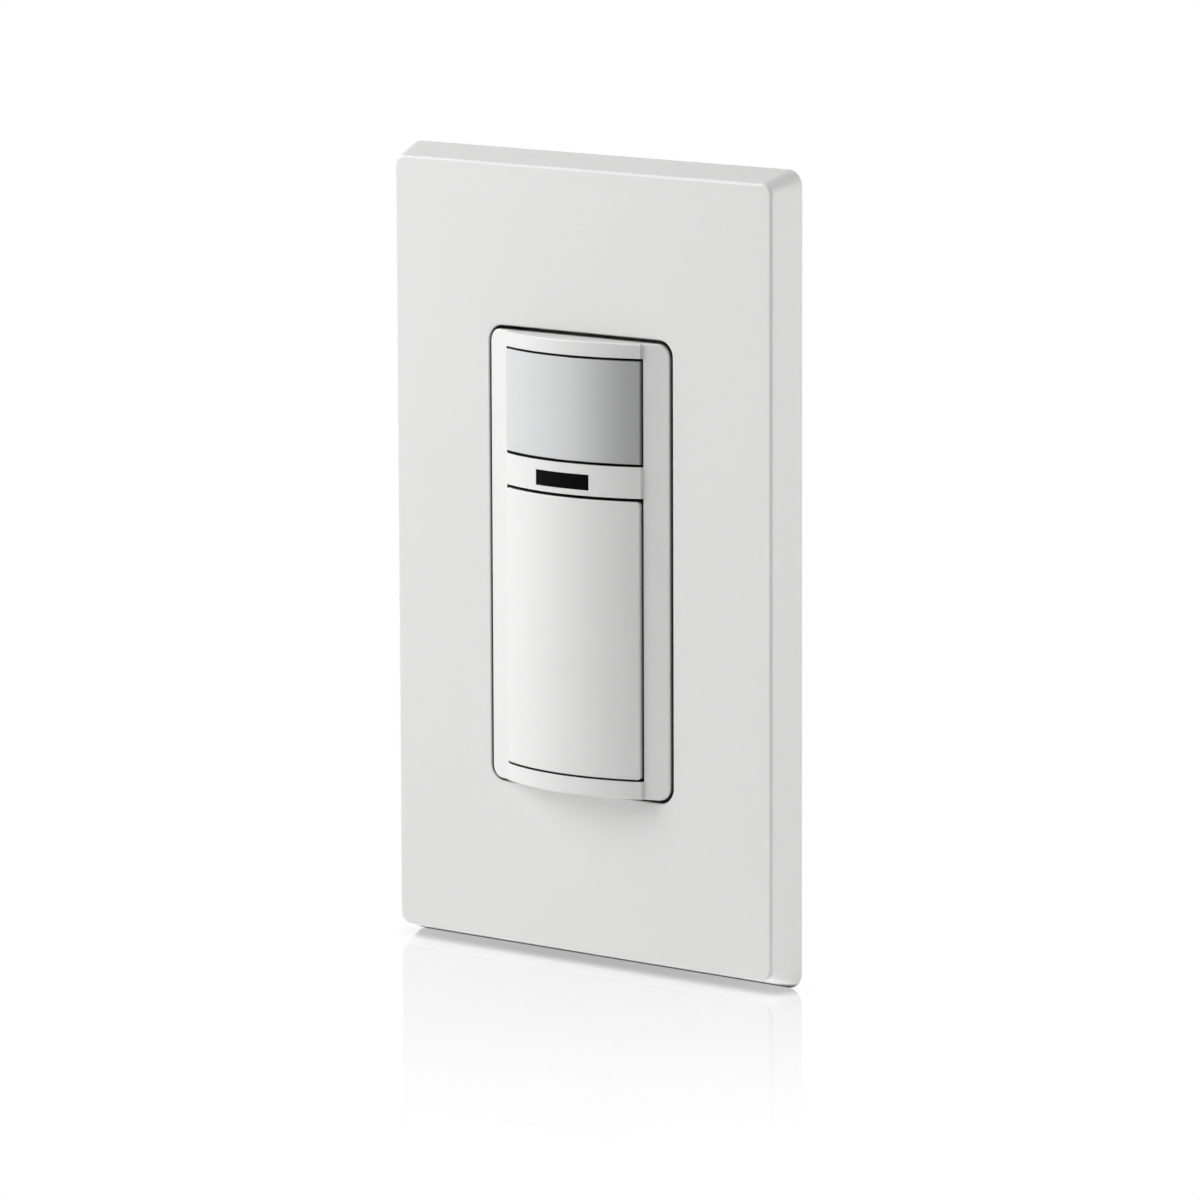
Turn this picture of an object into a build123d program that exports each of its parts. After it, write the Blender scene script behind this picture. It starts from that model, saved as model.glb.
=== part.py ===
"""Motion sensor wall switch with a push-on screwless wall plate.

Millimetres. X is to the right of someone facing the wall, Y goes into the wall and Z is up.
The origin is the centre of the mounting strap's rear face, so the plane Y = 0 is the wall.
"""

from build123d import *
from math import dist, sqrt
import os

# General clearances
CUT_OVERRUN = 1.0
RUNNING_CLEARANCE = 0.07
CLIP_CLEARANCE = 0.1
PARTING_GAP = 0.36
EDGE_SEARCH = 0.001

# Wall plate cover: a shallow tapered box, open towards the wall
PLATE_MARGIN = 3.5
PLATE_DEPTH = 5.0
PLATE_LEAN = 1.7
PLATE_CORNER_R = 2.4
PLATE_FRONT_CORNER_R = 1.7
PLATE_FRONT_WALL = 1.6
PLATE_SIDE_WALL = 1.8
PLATE_EDGE_R = 0.55
OPENING_EDGE_R = 0.3
FACE_GAP = 0.42
CLIP_RIB_WIDTH = 6.0
CLIP_RIB_SIDE_INSET = 16.8
CLIP_RIB_END_INSET = 24.0
SEAT_PAD_WIDTH = 5.0
SEAT_PAD_INSET = 4.0

# Device face: two sloping rails and three bulging bands
FACE_WIDTH = 33.4
FACE_HEIGHT = 66.3
FACE_CORNER_R = 1.9
FACE_EDGE_R = 0.25
RAIL_OUTER_RISE = 0.12
RAIL_INNER_RISE = 1.3
RAIL_WIDTH = 4.08
BULGE_R = 29.3
BULGE_RISE = 4.54
BAND_FOOT_R = 0.3
TOP_BAND_HEIGHT = 2.16
LENS_HEIGHT = 14.97
MIDDLE_BAND_HEIGHT = 4.55
BUTTON_HEAD_GAP = 0.46
BUTTON_FOOT_GAP = 0.25
BUTTON_CORNER_R = 0.5
BUTTON_EDGE_R = 0.2
LENS_EDGE_R = 0.12
BOTTOM_BAND_HEIGHT = 2.62
WINDOW_SIDE_GAP = 0.35
BEZEL_WALL = 1.2
BEZEL_WEB = 0.8
BEZEL_CROWN_WALL = 1.6
DECK_THICKNESS = 1.0
BAND_SOLID_WIDTH = 4.0
BOARD_POST_R = 1.1
BOARD_POST_INSET = 1.9
DIAL_WINDOW_MARGIN = 0.9
PLUNGER_WINDOW_MARGIN = 0.8

# Mounting strap with plaster ears, slots, tapped holes and a ground tab
STRAP_END = 4.95
STRAP_SIDE = 3.3
STRAP_THICKNESS = 1.2
STRAP_CORNER_R = 1.5
EAR_REACH = 2.2
EAR_HEIGHT = 9.6
EAR_CORNER_R = 2.0
EAR_GROOVE_WIDTH = 0.8
EAR_GROOVE_DEPTH = 0.4
STRAP_OPENING_SIDE_STEP = 3.7
STRAP_OPENING_END_STEP = 3.15
STRAP_OPENING_R = 1.0
BOX_SCREW_MARGIN = 8.5
PLATE_SCREW_MARGIN = 6.75
SLOT_LENGTH = 7.2
SLOT_WIDTH = 4.4
GROUND_TAB_REACH = 3.4
GROUND_TAB_HEIGHT = 10.0
GROUND_TAB_DEPTH = 10.0
GROUND_TAB_Z = 14.0

# Machine screws, number 6 size
SCREW_THREAD_R = 1.75
SCREW_CORE_R = 1.6
TAPPED_HOLE_R = 1.62
BOX_SCREW_REACH = 22.0
BOX_SCREW_TIP = 1.2
BOX_HEAD_R = 3.3
BOX_HEAD_HEIGHT = 1.8
PLATE_HEAD_R = 3.0
PLATE_HEAD_HEIGHT = 1.2
PLATE_SCREW_REACH = 3.0
HEAD_SLOT_WIDTH = 0.9
HEAD_SLOT_DEPTH = 0.8
RETAINER_THICKNESS = 0.9
RETAINER_CLEARANCE = 0.1

# Sub-plate: the frame that carries the push-on cover
SUBPLATE_END_GAP = 0.85
SUBPLATE_SIDE_GAP = 9.8
SUBPLATE_THICKNESS = 1.6
SUBPLATE_CORNER_R = 2.0
SUBPLATE_RIM = 1.3
SUBPLATE_OPENING_GAP = 0.8
HEAD_WINDOW_WIDTH = 9.0
HEAD_CLEARANCE = 0.4
PLATE_HEAD_SEAT = 0.8

# Rear housing with three terminal pockets
HOUSING_SCREW_EDGE = 3.8
HOUSING_DEPTH = 20.5
HOUSING_WALL = 1.8
HOUSING_EDGE_R = 1.5
HOUSING_CORNER_R = 2.0
POCKET_DEPTH = 6.0
POCKET_HEIGHT = 13.0
POCKET_FRONT_Y = 5.4
POCKET_FLOOR = 2.4
POCKET_WALL = 1.2
POCKET_Z = 14.0
WIRE_SLOT_WIDTH = 2.6
WIRE_SLOT_HEIGHT = 4.6
TAIL_CLEARANCE = 0.1
BOARD_RIB_WIDTH = 2.0
BOARD_RIB_DEPTH = 1.6
BOARD_RIB_GAP = 1.5
POWER_POST_R = 1.6
POWER_POST_X = 8.5
POWER_POST_INSET = 4.0

# Long screws that clamp housing, strap and bezel
HOUSING_SCREW_SIDE_STEP = 1.6
HOUSING_SCREW_END_STEP = 0.2
HOUSING_SCREW_R = 1.0
HOUSING_SCREW_ENGAGEMENT = 2.6
HOUSING_SCREW_TIP_GAP = 0.6
HOUSING_SCREW_CLEARANCE = 0.2
HOUSING_HEAD_R = 1.9
HOUSING_HEAD_HEIGHT = 1.2
HOUSING_HEAD_RECESS = 1.6
HOUSING_BOSS_R = 2.7

# Control board and what stands on it
BOARD_THICKNESS = 1.2
BOARD_CLEARANCE = 0.3
CONTROL_BOARD_Y = 3.0
PIR_CAN_R = 4.1
PIR_FLANGE_R = 4.6
PIR_FLANGE_THICKNESS = 0.5
PIR_HEIGHT = 4.0
PIR_CAN_WALL = 0.3
PIR_CAN_EDGE_R = 0.4
PIR_WINDOW_WIDTH = 4.6
PIR_WINDOW_HEIGHT = 3.6
PIR_FILTER_THICKNESS = 0.4
PIR_FILTER_MARGIN = 0.6
PIR_HEADER_THICKNESS = 0.9
PIR_ELEMENT_WIDTH = 3.2
PIR_ELEMENT_HEIGHT = 2.0
PIR_ELEMENT_THICKNESS = 0.3
PIR_ELEMENT_POST_R = 0.5
PIR_TAB = 0.9
LENS_WALL = 0.7
LENS_RECESS = 0.08
LENS_SKIRT = 0.8
LENS_SKIRT_Y = -5.2
BAFFLE_WALL = 0.9
BAFFLE_MARGIN = 0.25
BAFFLE_RIM = 1.0
BAFFLE_TAPER_END_Y = 1.0
BAFFLE_THROAT_GAP = 0.6
PIPE_WIDTH = 9.8
PIPE_HEIGHT = 2.2
PIPE_Z_DROP = 0.33
PIPE_RECESS = 0.12
PIPE_FIT = 0.04
PIPE_LENGTH = 8.6
PIPE_FOOT = 1.2
PIPE_FOOT_THICKNESS = 1.0
LED_R = 1.5
LED_HEIGHT = 3.2
LED_FLANGE_R = 1.75
LED_FLANGE_THICKNESS = 0.5
LED_SPACING = 5.2
TACT_SIZE = 6.0
TACT_HEIGHT = 3.2
PLUNGER_R = 1.6
PLUNGER_STAND_OUT = 1.1
PLUNGER_SOCKET = 1.6
TRIMMER_SIZE = 6.4
TRIMMER_HEIGHT = 2.6
DIAL_R = 2.5
DIAL_HEIGHT = 1.6
DIAL_SOCKET = 0.6
DIAL_SLOT_WIDTH = 0.7
DIAL_SLOT_DEPTH = 0.8
DIAL_POINTER_LENGTH = 1.4
TRIMMER_SPACING = 14.0
TRIMMER_DROP = 10.29
TACT_DROP = 12.0
CONTROLLER_WIDTH = 5.2
CONTROLLER_LENGTH = 9.0
CONTROLLER_HEIGHT = 1.6
CONTROLLER_X = -7.0
AMPLIFIER_WIDTH = 4.0
AMPLIFIER_LENGTH = 5.0
AMPLIFIER_HEIGHT = 1.5
CHIP_PIN_WIDTH = 0.4
CHIP_PIN_REACH = 0.9
CHIP_PIN_PITCH = 1.27
CHIP_PIN_THICKNESS = 0.2
SMALL_CHIP_LENGTH = 2.0
SMALL_CHIP_WIDTH = 1.25
SMALL_CHIP_HEIGHT = 0.6
SMALL_CHIP_PITCH = 3.0
SMALL_CHIP_COUNT = 6
SMALL_CHIP_Z = -9.5

# Push button
BUTTON_WALL = 1.6
BUTTON_SKIRT = 1.2
BUTTON_SKIRT_Y = -3.5
PIVOT_R = 0.9
PIVOT_Y = -4.6
PIVOT_DROP = 2.3
PIVOT_REACH = 1.1
ACTUATOR_WIDTH = 3.0
ACTUATOR_HEIGHT = 2.4
ACTUATOR_GAP = 0.2
SPRING_WIRE_R = 0.16
SPRING_COIL_R = 1.5
SPRING_TURNS = 3.5
SPRING_SAMPLES = 240
SPRING_X = 8.8
SPRING_RAISE = 4.51
SPRING_LENGTH = 3.4
SPRING_PIN_R = 1.0
SPRING_PIN_HEIGHT = 1.1
SPRING_SEAT_R = 2.2

# Power board and its parts
POWER_BOARD_Y = 16.0
POWER_BOARD_SIDE_GAP = 0.3
POWER_BOARD_END_GAP = 3.2
RELAY_WIDTH = 19.0
RELAY_DEPTH = 11.4
RELAY_HEIGHT = 15.0
RELAY_WALL = 0.9
RELAY_Z = 12.8
RELAY_BASE_THICKNESS = 1.6
RELAY_FIT = 0.15
RELAY_CORE_R = 1.6
RELAY_CORE_FACE_R = 2.6
RELAY_CORE_FACE = 0.5
RELAY_COIL_R = 4.6
RELAY_FLANGE_R = 5.4
RELAY_FLANGE = 0.6
RELAY_COIL_LENGTH = 5.0
RELAY_YOKE_X = 6.6
RELAY_YOKE_THICKNESS = 1.0
RELAY_YOKE_WIDTH = 8.0
ARMATURE_THICKNESS = 0.9
ARMATURE_GAP = 0.6
ARMATURE_REACH = 4.0
ARMATURE_PIVOT_GAP = 0.12
BLADE_THICKNESS = 0.25
BLADE_WIDTH = 3.0
BLADE_REACH = 8.2
CONTACT_R = 0.9
CONTACT_HEIGHT = 0.4
CONTACT_GAP = 0.9
CONTACT_POST_WIDTH = 2.4
FILM_CAP_WIDTH = 6.0
FILM_CAP_HEIGHT = 13.0
FILM_CAP_DEPTH = 9.0
FILM_CAP_X = -7.0
FILM_CAP_Z = -5.5
CAN_CAP_R = 4.0
CAN_CAP_DEPTH = 10.0
CAN_CAP_X = 4.5
CAN_CAP_Z = -4.0
CAN_CAP_GROOVE = 0.4
VARISTOR_R = 4.4
VARISTOR_THICKNESS = 3.2
VARISTOR_X = -6.0
VARISTOR_Z = -17.0
LEAD_R = 0.35
FUSE_R = 1.4
FUSE_LENGTH = 7.0
FUSE_STAND = 1.0
FUSE_X = 6.0
FUSE_Z = -11.5
INDUCTOR_R = 4.4
INDUCTOR_CORE_R = 2.2
INDUCTOR_FLANGE = 0.8
INDUCTOR_DEPTH = 8.0
INDUCTOR_X = 5.5
INDUCTOR_Z = -18.5
HEADER_PIN = 0.6
HEADER_PITCH = 2.54
HEADER_PINS = 6
HEADER_STRIP = 2.4
HEADER_INSET = 3.6

# Terminals
TERMINAL_PLATE_THICKNESS = 0.9
TERMINAL_PLATE_MARGIN = 0.6
TERMINAL_TAIL_WIDTH = 3.0
TERMINAL_TAIL_THICKNESS = 1.0
TERMINAL_SCREW_Y = 11.5
TERMINAL_SCREW_R = 1.85
TERMINAL_HEAD_R = 3.4
TERMINAL_HEAD_HEIGHT = 1.8
TERMINAL_FIT = 0.05
TERMINAL_SCREW_BLIND = 2.0
CLAMP_SIZE = 8.4
CLAMP_THICKNESS = 1.2
WIRE_GAP = 2.1
GROUND_SCREW_Y = 4.4
GROUND_SCREW_INNER = 0.6
SHEET_THICKNESS = 0.4
SHEET_MARGIN = 0.2

# Overall sizes that follow from the face: strap, sub-plate and cover go round it
PANEL_WIDTH = FACE_WIDTH - 2 * RAIL_WIDTH
BOX_SCREW_SPACING = FACE_HEIGHT + 2 * BOX_SCREW_MARGIN
PLATE_SCREW_SPACING = BOX_SCREW_SPACING + 2 * PLATE_SCREW_MARGIN
STRAP_LENGTH = PLATE_SCREW_SPACING + 2 * STRAP_END
STRAP_WIDTH = FACE_WIDTH + 2 * STRAP_SIDE
EAR_WIDTH = STRAP_WIDTH + 2 * EAR_REACH
STRAP_OPENING_WIDTH = FACE_WIDTH - 2 * STRAP_OPENING_SIDE_STEP
STRAP_OPENING_HEIGHT = FACE_HEIGHT - 2 * STRAP_OPENING_END_STEP
SUBPLATE_HEIGHT = STRAP_LENGTH + 2 * (SUBPLATE_END_GAP + SUBPLATE_RIM)
SUBPLATE_WIDTH = EAR_WIDTH + 2 * (SUBPLATE_SIDE_GAP + SUBPLATE_RIM)
PLATE_HEIGHT = SUBPLATE_HEIGHT + 2 * PLATE_MARGIN
PLATE_WIDTH = SUBPLATE_WIDTH + 2 * PLATE_MARGIN
HOUSING_SCREW_X = STRAP_OPENING_WIDTH / 2 + HOUSING_SCREW_SIDE_STEP
HOUSING_SCREW_Z = STRAP_OPENING_HEIGHT / 2 + HOUSING_SCREW_END_STEP
HOUSING_WIDTH = STRAP_WIDTH
HOUSING_HEIGHT = 2 * (HOUSING_SCREW_Z + HOUSING_SCREW_EDGE)

# Places that follow from the sizes above
FACE_Y = -PLATE_DEPTH
STRAP_FRONT_Y = -STRAP_THICKNESS
SUBPLATE_FRONT_Y = STRAP_FRONT_Y - SUBPLATE_THICKNESS
BULGE_AXIS_Y = FACE_Y - BULGE_RISE + BULGE_R
FACE_TOP_Z = FACE_HEIGHT / 2
LENS_TOP_Z = FACE_TOP_Z - TOP_BAND_HEIGHT - PARTING_GAP
LENS_BOTTOM_Z = LENS_TOP_Z - LENS_HEIGHT
LENS_Z = (LENS_TOP_Z + LENS_BOTTOM_Z) / 2
BAND_TOP_Z = LENS_BOTTOM_Z - PARTING_GAP
BAND_BOTTOM_Z = BAND_TOP_Z - MIDDLE_BAND_HEIGHT
BAND_Z = (BAND_TOP_Z + BAND_BOTTOM_Z) / 2
BUTTON_TOP_Z = BAND_BOTTOM_Z - BUTTON_HEAD_GAP
BUTTON_BOTTOM_Z = BOTTOM_BAND_HEIGHT + BUTTON_FOOT_GAP - FACE_TOP_Z
WINDOW_HALF = PANEL_WIDTH / 2 + WINDOW_SIDE_GAP / 2
INSERT_HALF = WINDOW_HALF - WINDOW_SIDE_GAP
DECK_FRONT_Y = STRAP_FRONT_Y - DECK_THICKNESS
PIPE_Z = BAND_Z - PIPE_Z_DROP
PIVOT_Z = BUTTON_TOP_Z - PIVOT_DROP
SPRING_Z = BUTTON_BOTTOM_Z + SPRING_RAISE
TRIMMER_Z = BUTTON_TOP_Z - TRIMMER_DROP
TACT_Z = TRIMMER_Z - TACT_DROP
CONTROL_BOARD_BACK_Y = CONTROL_BOARD_Y + BOARD_THICKNESS
POWER_BOARD_BACK_Y = POWER_BOARD_Y + BOARD_THICKNESS
CAVITY_HALF = HOUSING_WIDTH / 2 - HOUSING_WALL
CAVITY_HALF_HEIGHT = HOUSING_HEIGHT / 2 - HOUSING_WALL
CAVITY_BACK_Y = HOUSING_DEPTH - HOUSING_WALL
POCKET_FLOOR_X = HOUSING_WIDTH / 2 - POCKET_DEPTH
POWER_BOARD_WIDTH = 2 * (POCKET_FLOOR_X - POCKET_FLOOR - POWER_BOARD_SIDE_GAP)
POWER_BOARD_HEIGHT = 2 * (CAVITY_HALF_HEIGHT - POWER_BOARD_END_GAP)
POWER_POST_Z = POWER_BOARD_HEIGHT / 2 - POWER_POST_INSET
HEADER_Z = POWER_BOARD_HEIGHT / 2 - HEADER_INSET
BOARD_RIB_Z = HOUSING_SCREW_Z - HOUSING_BOSS_R - BOARD_RIB_GAP
POCKETS = ((1, POCKET_Z), (1, -POCKET_Z), (-1, -POCKET_Z))
HOUSING_SCREW_PLACES = [
    (side * HOUSING_SCREW_X, end * HOUSING_SCREW_Z) for side in (-1, 1) for end in (-1, 1)
]


def block(x_lo, x_hi, y_lo, y_hi, z_lo, z_hi):
    """A box between two corners."""
    centre = Pos((x_lo + x_hi) / 2, (y_lo + y_hi) / 2, (z_lo + z_hi) / 2)
    return centre * Box(x_hi - x_lo, y_hi - y_lo, z_hi - z_lo)


def bar(x, z, width, height, y_lo, y_hi):
    """A box centred on x and z, running from y_lo to y_hi."""
    return block(x - width / 2, x + width / 2, y_lo, y_hi, z - height / 2, z + height / 2)


def rod_y(radius, x, z, y_lo, y_hi):
    """A round rod square to the wall."""
    return Pos(x, (y_lo + y_hi) / 2, z) * Rot(90, 0, 0) * Cylinder(radius, y_hi - y_lo)


def rod_x(radius, y, z, x_lo, x_hi):
    """A round rod that lies left to right."""
    return Pos((x_lo + x_hi) / 2, y, z) * Rot(0, 90, 0) * Cylinder(radius, x_hi - x_lo)


def rod_z(radius, x, y, z_lo, z_hi):
    """A round upright rod."""
    return Pos(x, y, (z_lo + z_hi) / 2) * Cylinder(radius, z_hi - z_lo)


def wall_plane(y, x=0, z=0):
    """A drawing plane parallel to the wall, facing the room, with Z up."""
    return Plane((x, y, z), x_dir=(1, 0, 0), z_dir=(0, -1, 0))


def slab(width, height, corner_r, y_lo, y_hi, x=0, z=0):
    """A plate parallel to the wall with rounded corners."""
    return extrude(wall_plane(y_hi, x, z) * RectangleRounded(width, height, corner_r), y_hi - y_lo)


def slot_y(width, height, x, z, y_lo, y_hi):
    """A bar square to the wall with round ends, wider than it is tall."""
    return extrude(wall_plane(y_hi, x, z) * SlotOverall(width, height), y_hi - y_lo)


def bulge(half_width, z_lo, z_hi, y_back, inset=0):
    """What lies between the face's cylindrical bulge, set back by inset, and the plane y_back."""
    front = BULGE_AXIS_Y - BULGE_R - CUT_OVERRUN
    stock = block(-half_width, half_width, front, y_back, z_lo, z_hi)
    return stock & rod_z(BULGE_R - inset, 0, BULGE_AXIS_Y, z_lo - CUT_OVERRUN, z_hi + CUT_OVERRUN)


def bulge_y(x, inset=0):
    """Where the bulge's surface lies at x."""
    return BULGE_AXIS_Y - sqrt((BULGE_R - inset) ** 2 - x * x)


def edges_on_plane(shape, y):
    """The edges of a shape that lie in the plane at y."""
    return shape.edges().filter_by_position(Axis.Y, y - EDGE_SEARCH, y + EDGE_SEARCH)


def slotted_head(radius, height, x, z, y_top):
    """A round screw head facing the room, its top at y_top, with a driver slot."""
    head = rod_y(radius, x, z, y_top, y_top + height)
    head = chamfer(edges_on_plane(head, y_top), height / 4)
    slot = block(
        x - radius, x + radius, y_top - CUT_OVERRUN, y_top + HEAD_SLOT_DEPTH,
        z - HEAD_SLOT_WIDTH / 2, z + HEAD_SLOT_WIDTH / 2,
    )
    return head - slot


def plate_half_width(y):
    """Half the cover's outer width at y."""
    return PLATE_WIDTH / 2 - PLATE_LEAN * -y / PLATE_DEPTH


def plate_half_height(y):
    """Half the cover's outer height at y."""
    return PLATE_HEIGHT / 2 - PLATE_LEAN * -y / PLATE_DEPTH


def tapered_slab(y_front, inset):
    """The cover's outline from the wall to y_front, drawn in by inset."""
    sections = []
    for y in (0, y_front):
        share = y / FACE_Y
        corner = PLATE_CORNER_R + (PLATE_FRONT_CORNER_R - PLATE_CORNER_R) * share
        width = 2 * (plate_half_width(y) - inset)
        height = 2 * (plate_half_height(y) - inset)
        sections.append(wall_plane(y) * RectangleRounded(width, height, corner))
    return loft(sections, ruled=True)


def make_wallplate_cover():
    """The push-on cover, with ribs that grip the sub-plate and pads that rest on it."""
    cover = tapered_slab(FACE_Y, 0)
    front = cover.faces().sort_by(Axis.Y)[0]
    cover = fillet(front.edges(), PLATE_EDGE_R)
    inner_y = FACE_Y + PLATE_FRONT_WALL
    cover -= tapered_slab(inner_y, PLATE_SIDE_WALL)
    opening_width = FACE_WIDTH + 2 * FACE_GAP
    opening_height = FACE_HEIGHT + 2 * FACE_GAP
    opening = slab(
        opening_width, opening_height, FACE_CORNER_R + FACE_GAP, FACE_Y - CUT_OVERRUN, 0
    )
    cover -= opening
    rim = [
        e for e in edges_on_plane(cover, FACE_Y)
        if e.bounding_box().max.Z < plate_half_height(FACE_Y) * 3 / 4
        and e.bounding_box().min.Z > -plate_half_height(FACE_Y) * 3 / 4
        and abs(e.center().X) < FACE_WIDTH
    ]
    cover = fillet(rim, OPENING_EDGE_R)
    side_x = SUBPLATE_WIDTH / 2 + CLIP_CLEARANCE
    end_z = SUBPLATE_HEIGHT / 2 + CLIP_CLEARANCE
    ribs = []
    for side in (-1, 1):
        for along in (-1, 1):
            x = along * (PLATE_WIDTH / 2 - CLIP_RIB_SIDE_INSET)
            z = along * (PLATE_HEIGHT / 2 - CLIP_RIB_END_INSET)
            ribs.append(block(
                x - CLIP_RIB_WIDTH / 2, x + CLIP_RIB_WIDTH / 2, inner_y, STRAP_FRONT_Y,
                min(side * end_z, side * (plate_half_height(0) - PLATE_SIDE_WALL / 2)),
                max(side * end_z, side * (plate_half_height(0) - PLATE_SIDE_WALL / 2)),
            ))
            ribs.append(block(
                min(side * side_x, side * (plate_half_width(0) - PLATE_SIDE_WALL / 2)),
                max(side * side_x, side * (plate_half_width(0) - PLATE_SIDE_WALL / 2)),
                inner_y, STRAP_FRONT_Y, z - CLIP_RIB_WIDTH / 2, z + CLIP_RIB_WIDTH / 2,
            ))
            pad_x = side * (SUBPLATE_WIDTH / 2 - SEAT_PAD_INSET)
            pad_z = along * (SUBPLATE_HEIGHT / 2 - SEAT_PAD_INSET)
            ribs.append(bar(
                pad_x, pad_z, SEAT_PAD_WIDTH, SEAT_PAD_WIDTH, inner_y, SUBPLATE_FRONT_Y
            ))
    shell = tapered_slab(FACE_Y, PLATE_SIDE_WALL / 2)
    for rib in ribs:
        cover += rib & shell
    return cover


def make_wallplate_subplate():
    """The frame behind the cover, screwed to the strap, with a rim that reaches the wall."""
    plate = slab(SUBPLATE_WIDTH, SUBPLATE_HEIGHT, SUBPLATE_CORNER_R, SUBPLATE_FRONT_Y, 0)
    plate -= slab(
        SUBPLATE_WIDTH - 2 * SUBPLATE_RIM, SUBPLATE_HEIGHT - 2 * SUBPLATE_RIM,
        SUBPLATE_CORNER_R / 2, STRAP_FRONT_Y, CUT_OVERRUN,
    )
    plate -= slab(
        FACE_WIDTH + 2 * SUBPLATE_OPENING_GAP, FACE_HEIGHT + 2 * SUBPLATE_OPENING_GAP,
        FACE_CORNER_R, SUBPLATE_FRONT_Y - CUT_OVERRUN, CUT_OVERRUN,
    )
    for end in (-1, 1):
        window_height = 2 * (BOX_HEAD_R + HEAD_CLEARANCE)
        plate -= bar(
            0, end * BOX_SCREW_SPACING / 2, HEAD_WINDOW_WIDTH, window_height,
            SUBPLATE_FRONT_Y - CUT_OVERRUN, CUT_OVERRUN,
        )
        z = end * PLATE_SCREW_SPACING / 2
        plate -= rod_y(
            PLATE_HEAD_R + HEAD_CLEARANCE / 2, 0, z,
            SUBPLATE_FRONT_Y - CUT_OVERRUN, STRAP_FRONT_Y - PLATE_HEAD_SEAT,
        )
        plate -= rod_y(
            SCREW_THREAD_R + HEAD_CLEARANCE / 2, 0, z, SUBPLATE_FRONT_Y, CUT_OVERRUN
        )
    return plate


def make_subplate_screws():
    """Two short screws that hold the sub-plate to the strap's tapped holes."""
    screws = []
    for end in (-1, 1):
        z = end * PLATE_SCREW_SPACING / 2
        seat_y = STRAP_FRONT_Y - PLATE_HEAD_SEAT
        head = slotted_head(PLATE_HEAD_R, PLATE_HEAD_HEIGHT, 0, z, seat_y - PLATE_HEAD_HEIGHT)
        shank = rod_y(SCREW_CORE_R, 0, z, seat_y, seat_y + PLATE_SCREW_REACH)
        screws.append(head + shank)
    return screws


def make_mounting_strap():
    """The steel strap: bar, plaster ears, opening, slots, tapped holes and bent ground tab."""
    strap = slab(STRAP_WIDTH, STRAP_LENGTH, STRAP_CORNER_R, STRAP_FRONT_Y, 0)
    ear_z = (STRAP_LENGTH - EAR_HEIGHT) / 2
    for end in (-1, 1):
        strap += slab(EAR_WIDTH, EAR_HEIGHT, EAR_CORNER_R, STRAP_FRONT_Y, 0, z=end * ear_z)
    strap -= slab(
        STRAP_OPENING_WIDTH, STRAP_OPENING_HEIGHT, STRAP_OPENING_R,
        STRAP_FRONT_Y - CUT_OVERRUN, CUT_OVERRUN,
    )
    for end in (-1, 1):
        strap -= slot_y(
            SLOT_LENGTH, SLOT_WIDTH, 0, end * BOX_SCREW_SPACING / 2,
            STRAP_FRONT_Y - CUT_OVERRUN, CUT_OVERRUN,
        )
        strap -= rod_y(
            TAPPED_HOLE_R, 0, end * PLATE_SCREW_SPACING / 2,
            STRAP_FRONT_Y - CUT_OVERRUN, CUT_OVERRUN,
        )
        for side in (-1, 1):
            groove_x = side * (STRAP_WIDTH / 2 - EAR_CORNER_R)
            strap -= bar(
                groove_x, end * ear_z, EAR_GROOVE_WIDTH, EAR_HEIGHT + CUT_OVERRUN,
                STRAP_FRONT_Y - CUT_OVERRUN, STRAP_FRONT_Y + EAR_GROOVE_DEPTH,
            )
    for x, z in HOUSING_SCREW_PLACES:
        strap -= rod_y(
            HOUSING_SCREW_R + HOUSING_SCREW_CLEARANCE, x, z,
            STRAP_FRONT_Y - CUT_OVERRUN, CUT_OVERRUN,
        )
    tab_x = STRAP_WIDTH / 2 + GROUND_TAB_REACH
    z_lo = GROUND_TAB_Z - GROUND_TAB_HEIGHT / 2
    z_hi = GROUND_TAB_Z + GROUND_TAB_HEIGHT / 2
    strap += block(-tab_x, -STRAP_WIDTH / 2, STRAP_FRONT_Y, 0, z_lo, z_hi)
    strap += block(-tab_x, STRAP_THICKNESS - tab_x, STRAP_FRONT_Y, GROUND_TAB_DEPTH, z_lo, z_hi)
    strap -= rod_x(
        TAPPED_HOLE_R, GROUND_SCREW_Y, GROUND_TAB_Z,
        -tab_x - CUT_OVERRUN, STRAP_THICKNESS + CUT_OVERRUN - tab_x,
    )
    return strap


def make_box_screws():
    """Two long screws that fasten the strap to the wall box; their threads start at the wall."""
    screws = []
    for end in (-1, 1):
        z = end * BOX_SCREW_SPACING / 2
        head = slotted_head(BOX_HEAD_R, BOX_HEAD_HEIGHT, 0, z, STRAP_FRONT_Y - BOX_HEAD_HEIGHT)
        neck = rod_y(SCREW_CORE_R, 0, z, STRAP_FRONT_Y, 0)
        thread = rod_y(SCREW_THREAD_R, 0, z, 0, BOX_SCREW_REACH - BOX_SCREW_TIP)
        tip = rod_y(SCREW_CORE_R, 0, z, BOX_SCREW_REACH - BOX_SCREW_TIP, BOX_SCREW_REACH)
        tip = chamfer(edges_on_plane(tip, BOX_SCREW_REACH), SCREW_CORE_R / 3)
        screws.append(head + neck + thread + tip)
    return screws


def make_screw_retainers():
    """Two plastic inserts in the strap's slots that keep the box screws from falling out."""
    inserts = []
    for end in (-1, 1):
        z = end * BOX_SCREW_SPACING / 2
        insert = slot_y(
            SLOT_LENGTH - 2 * RETAINER_CLEARANCE, SLOT_WIDTH - 2 * RETAINER_CLEARANCE, 0, z,
            STRAP_FRONT_Y, STRAP_FRONT_Y + RETAINER_THICKNESS,
        )
        inserts.append(insert - rod_y(SCREW_CORE_R, 0, z, STRAP_FRONT_Y - CUT_OVERRUN, 0))
    return inserts


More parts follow.
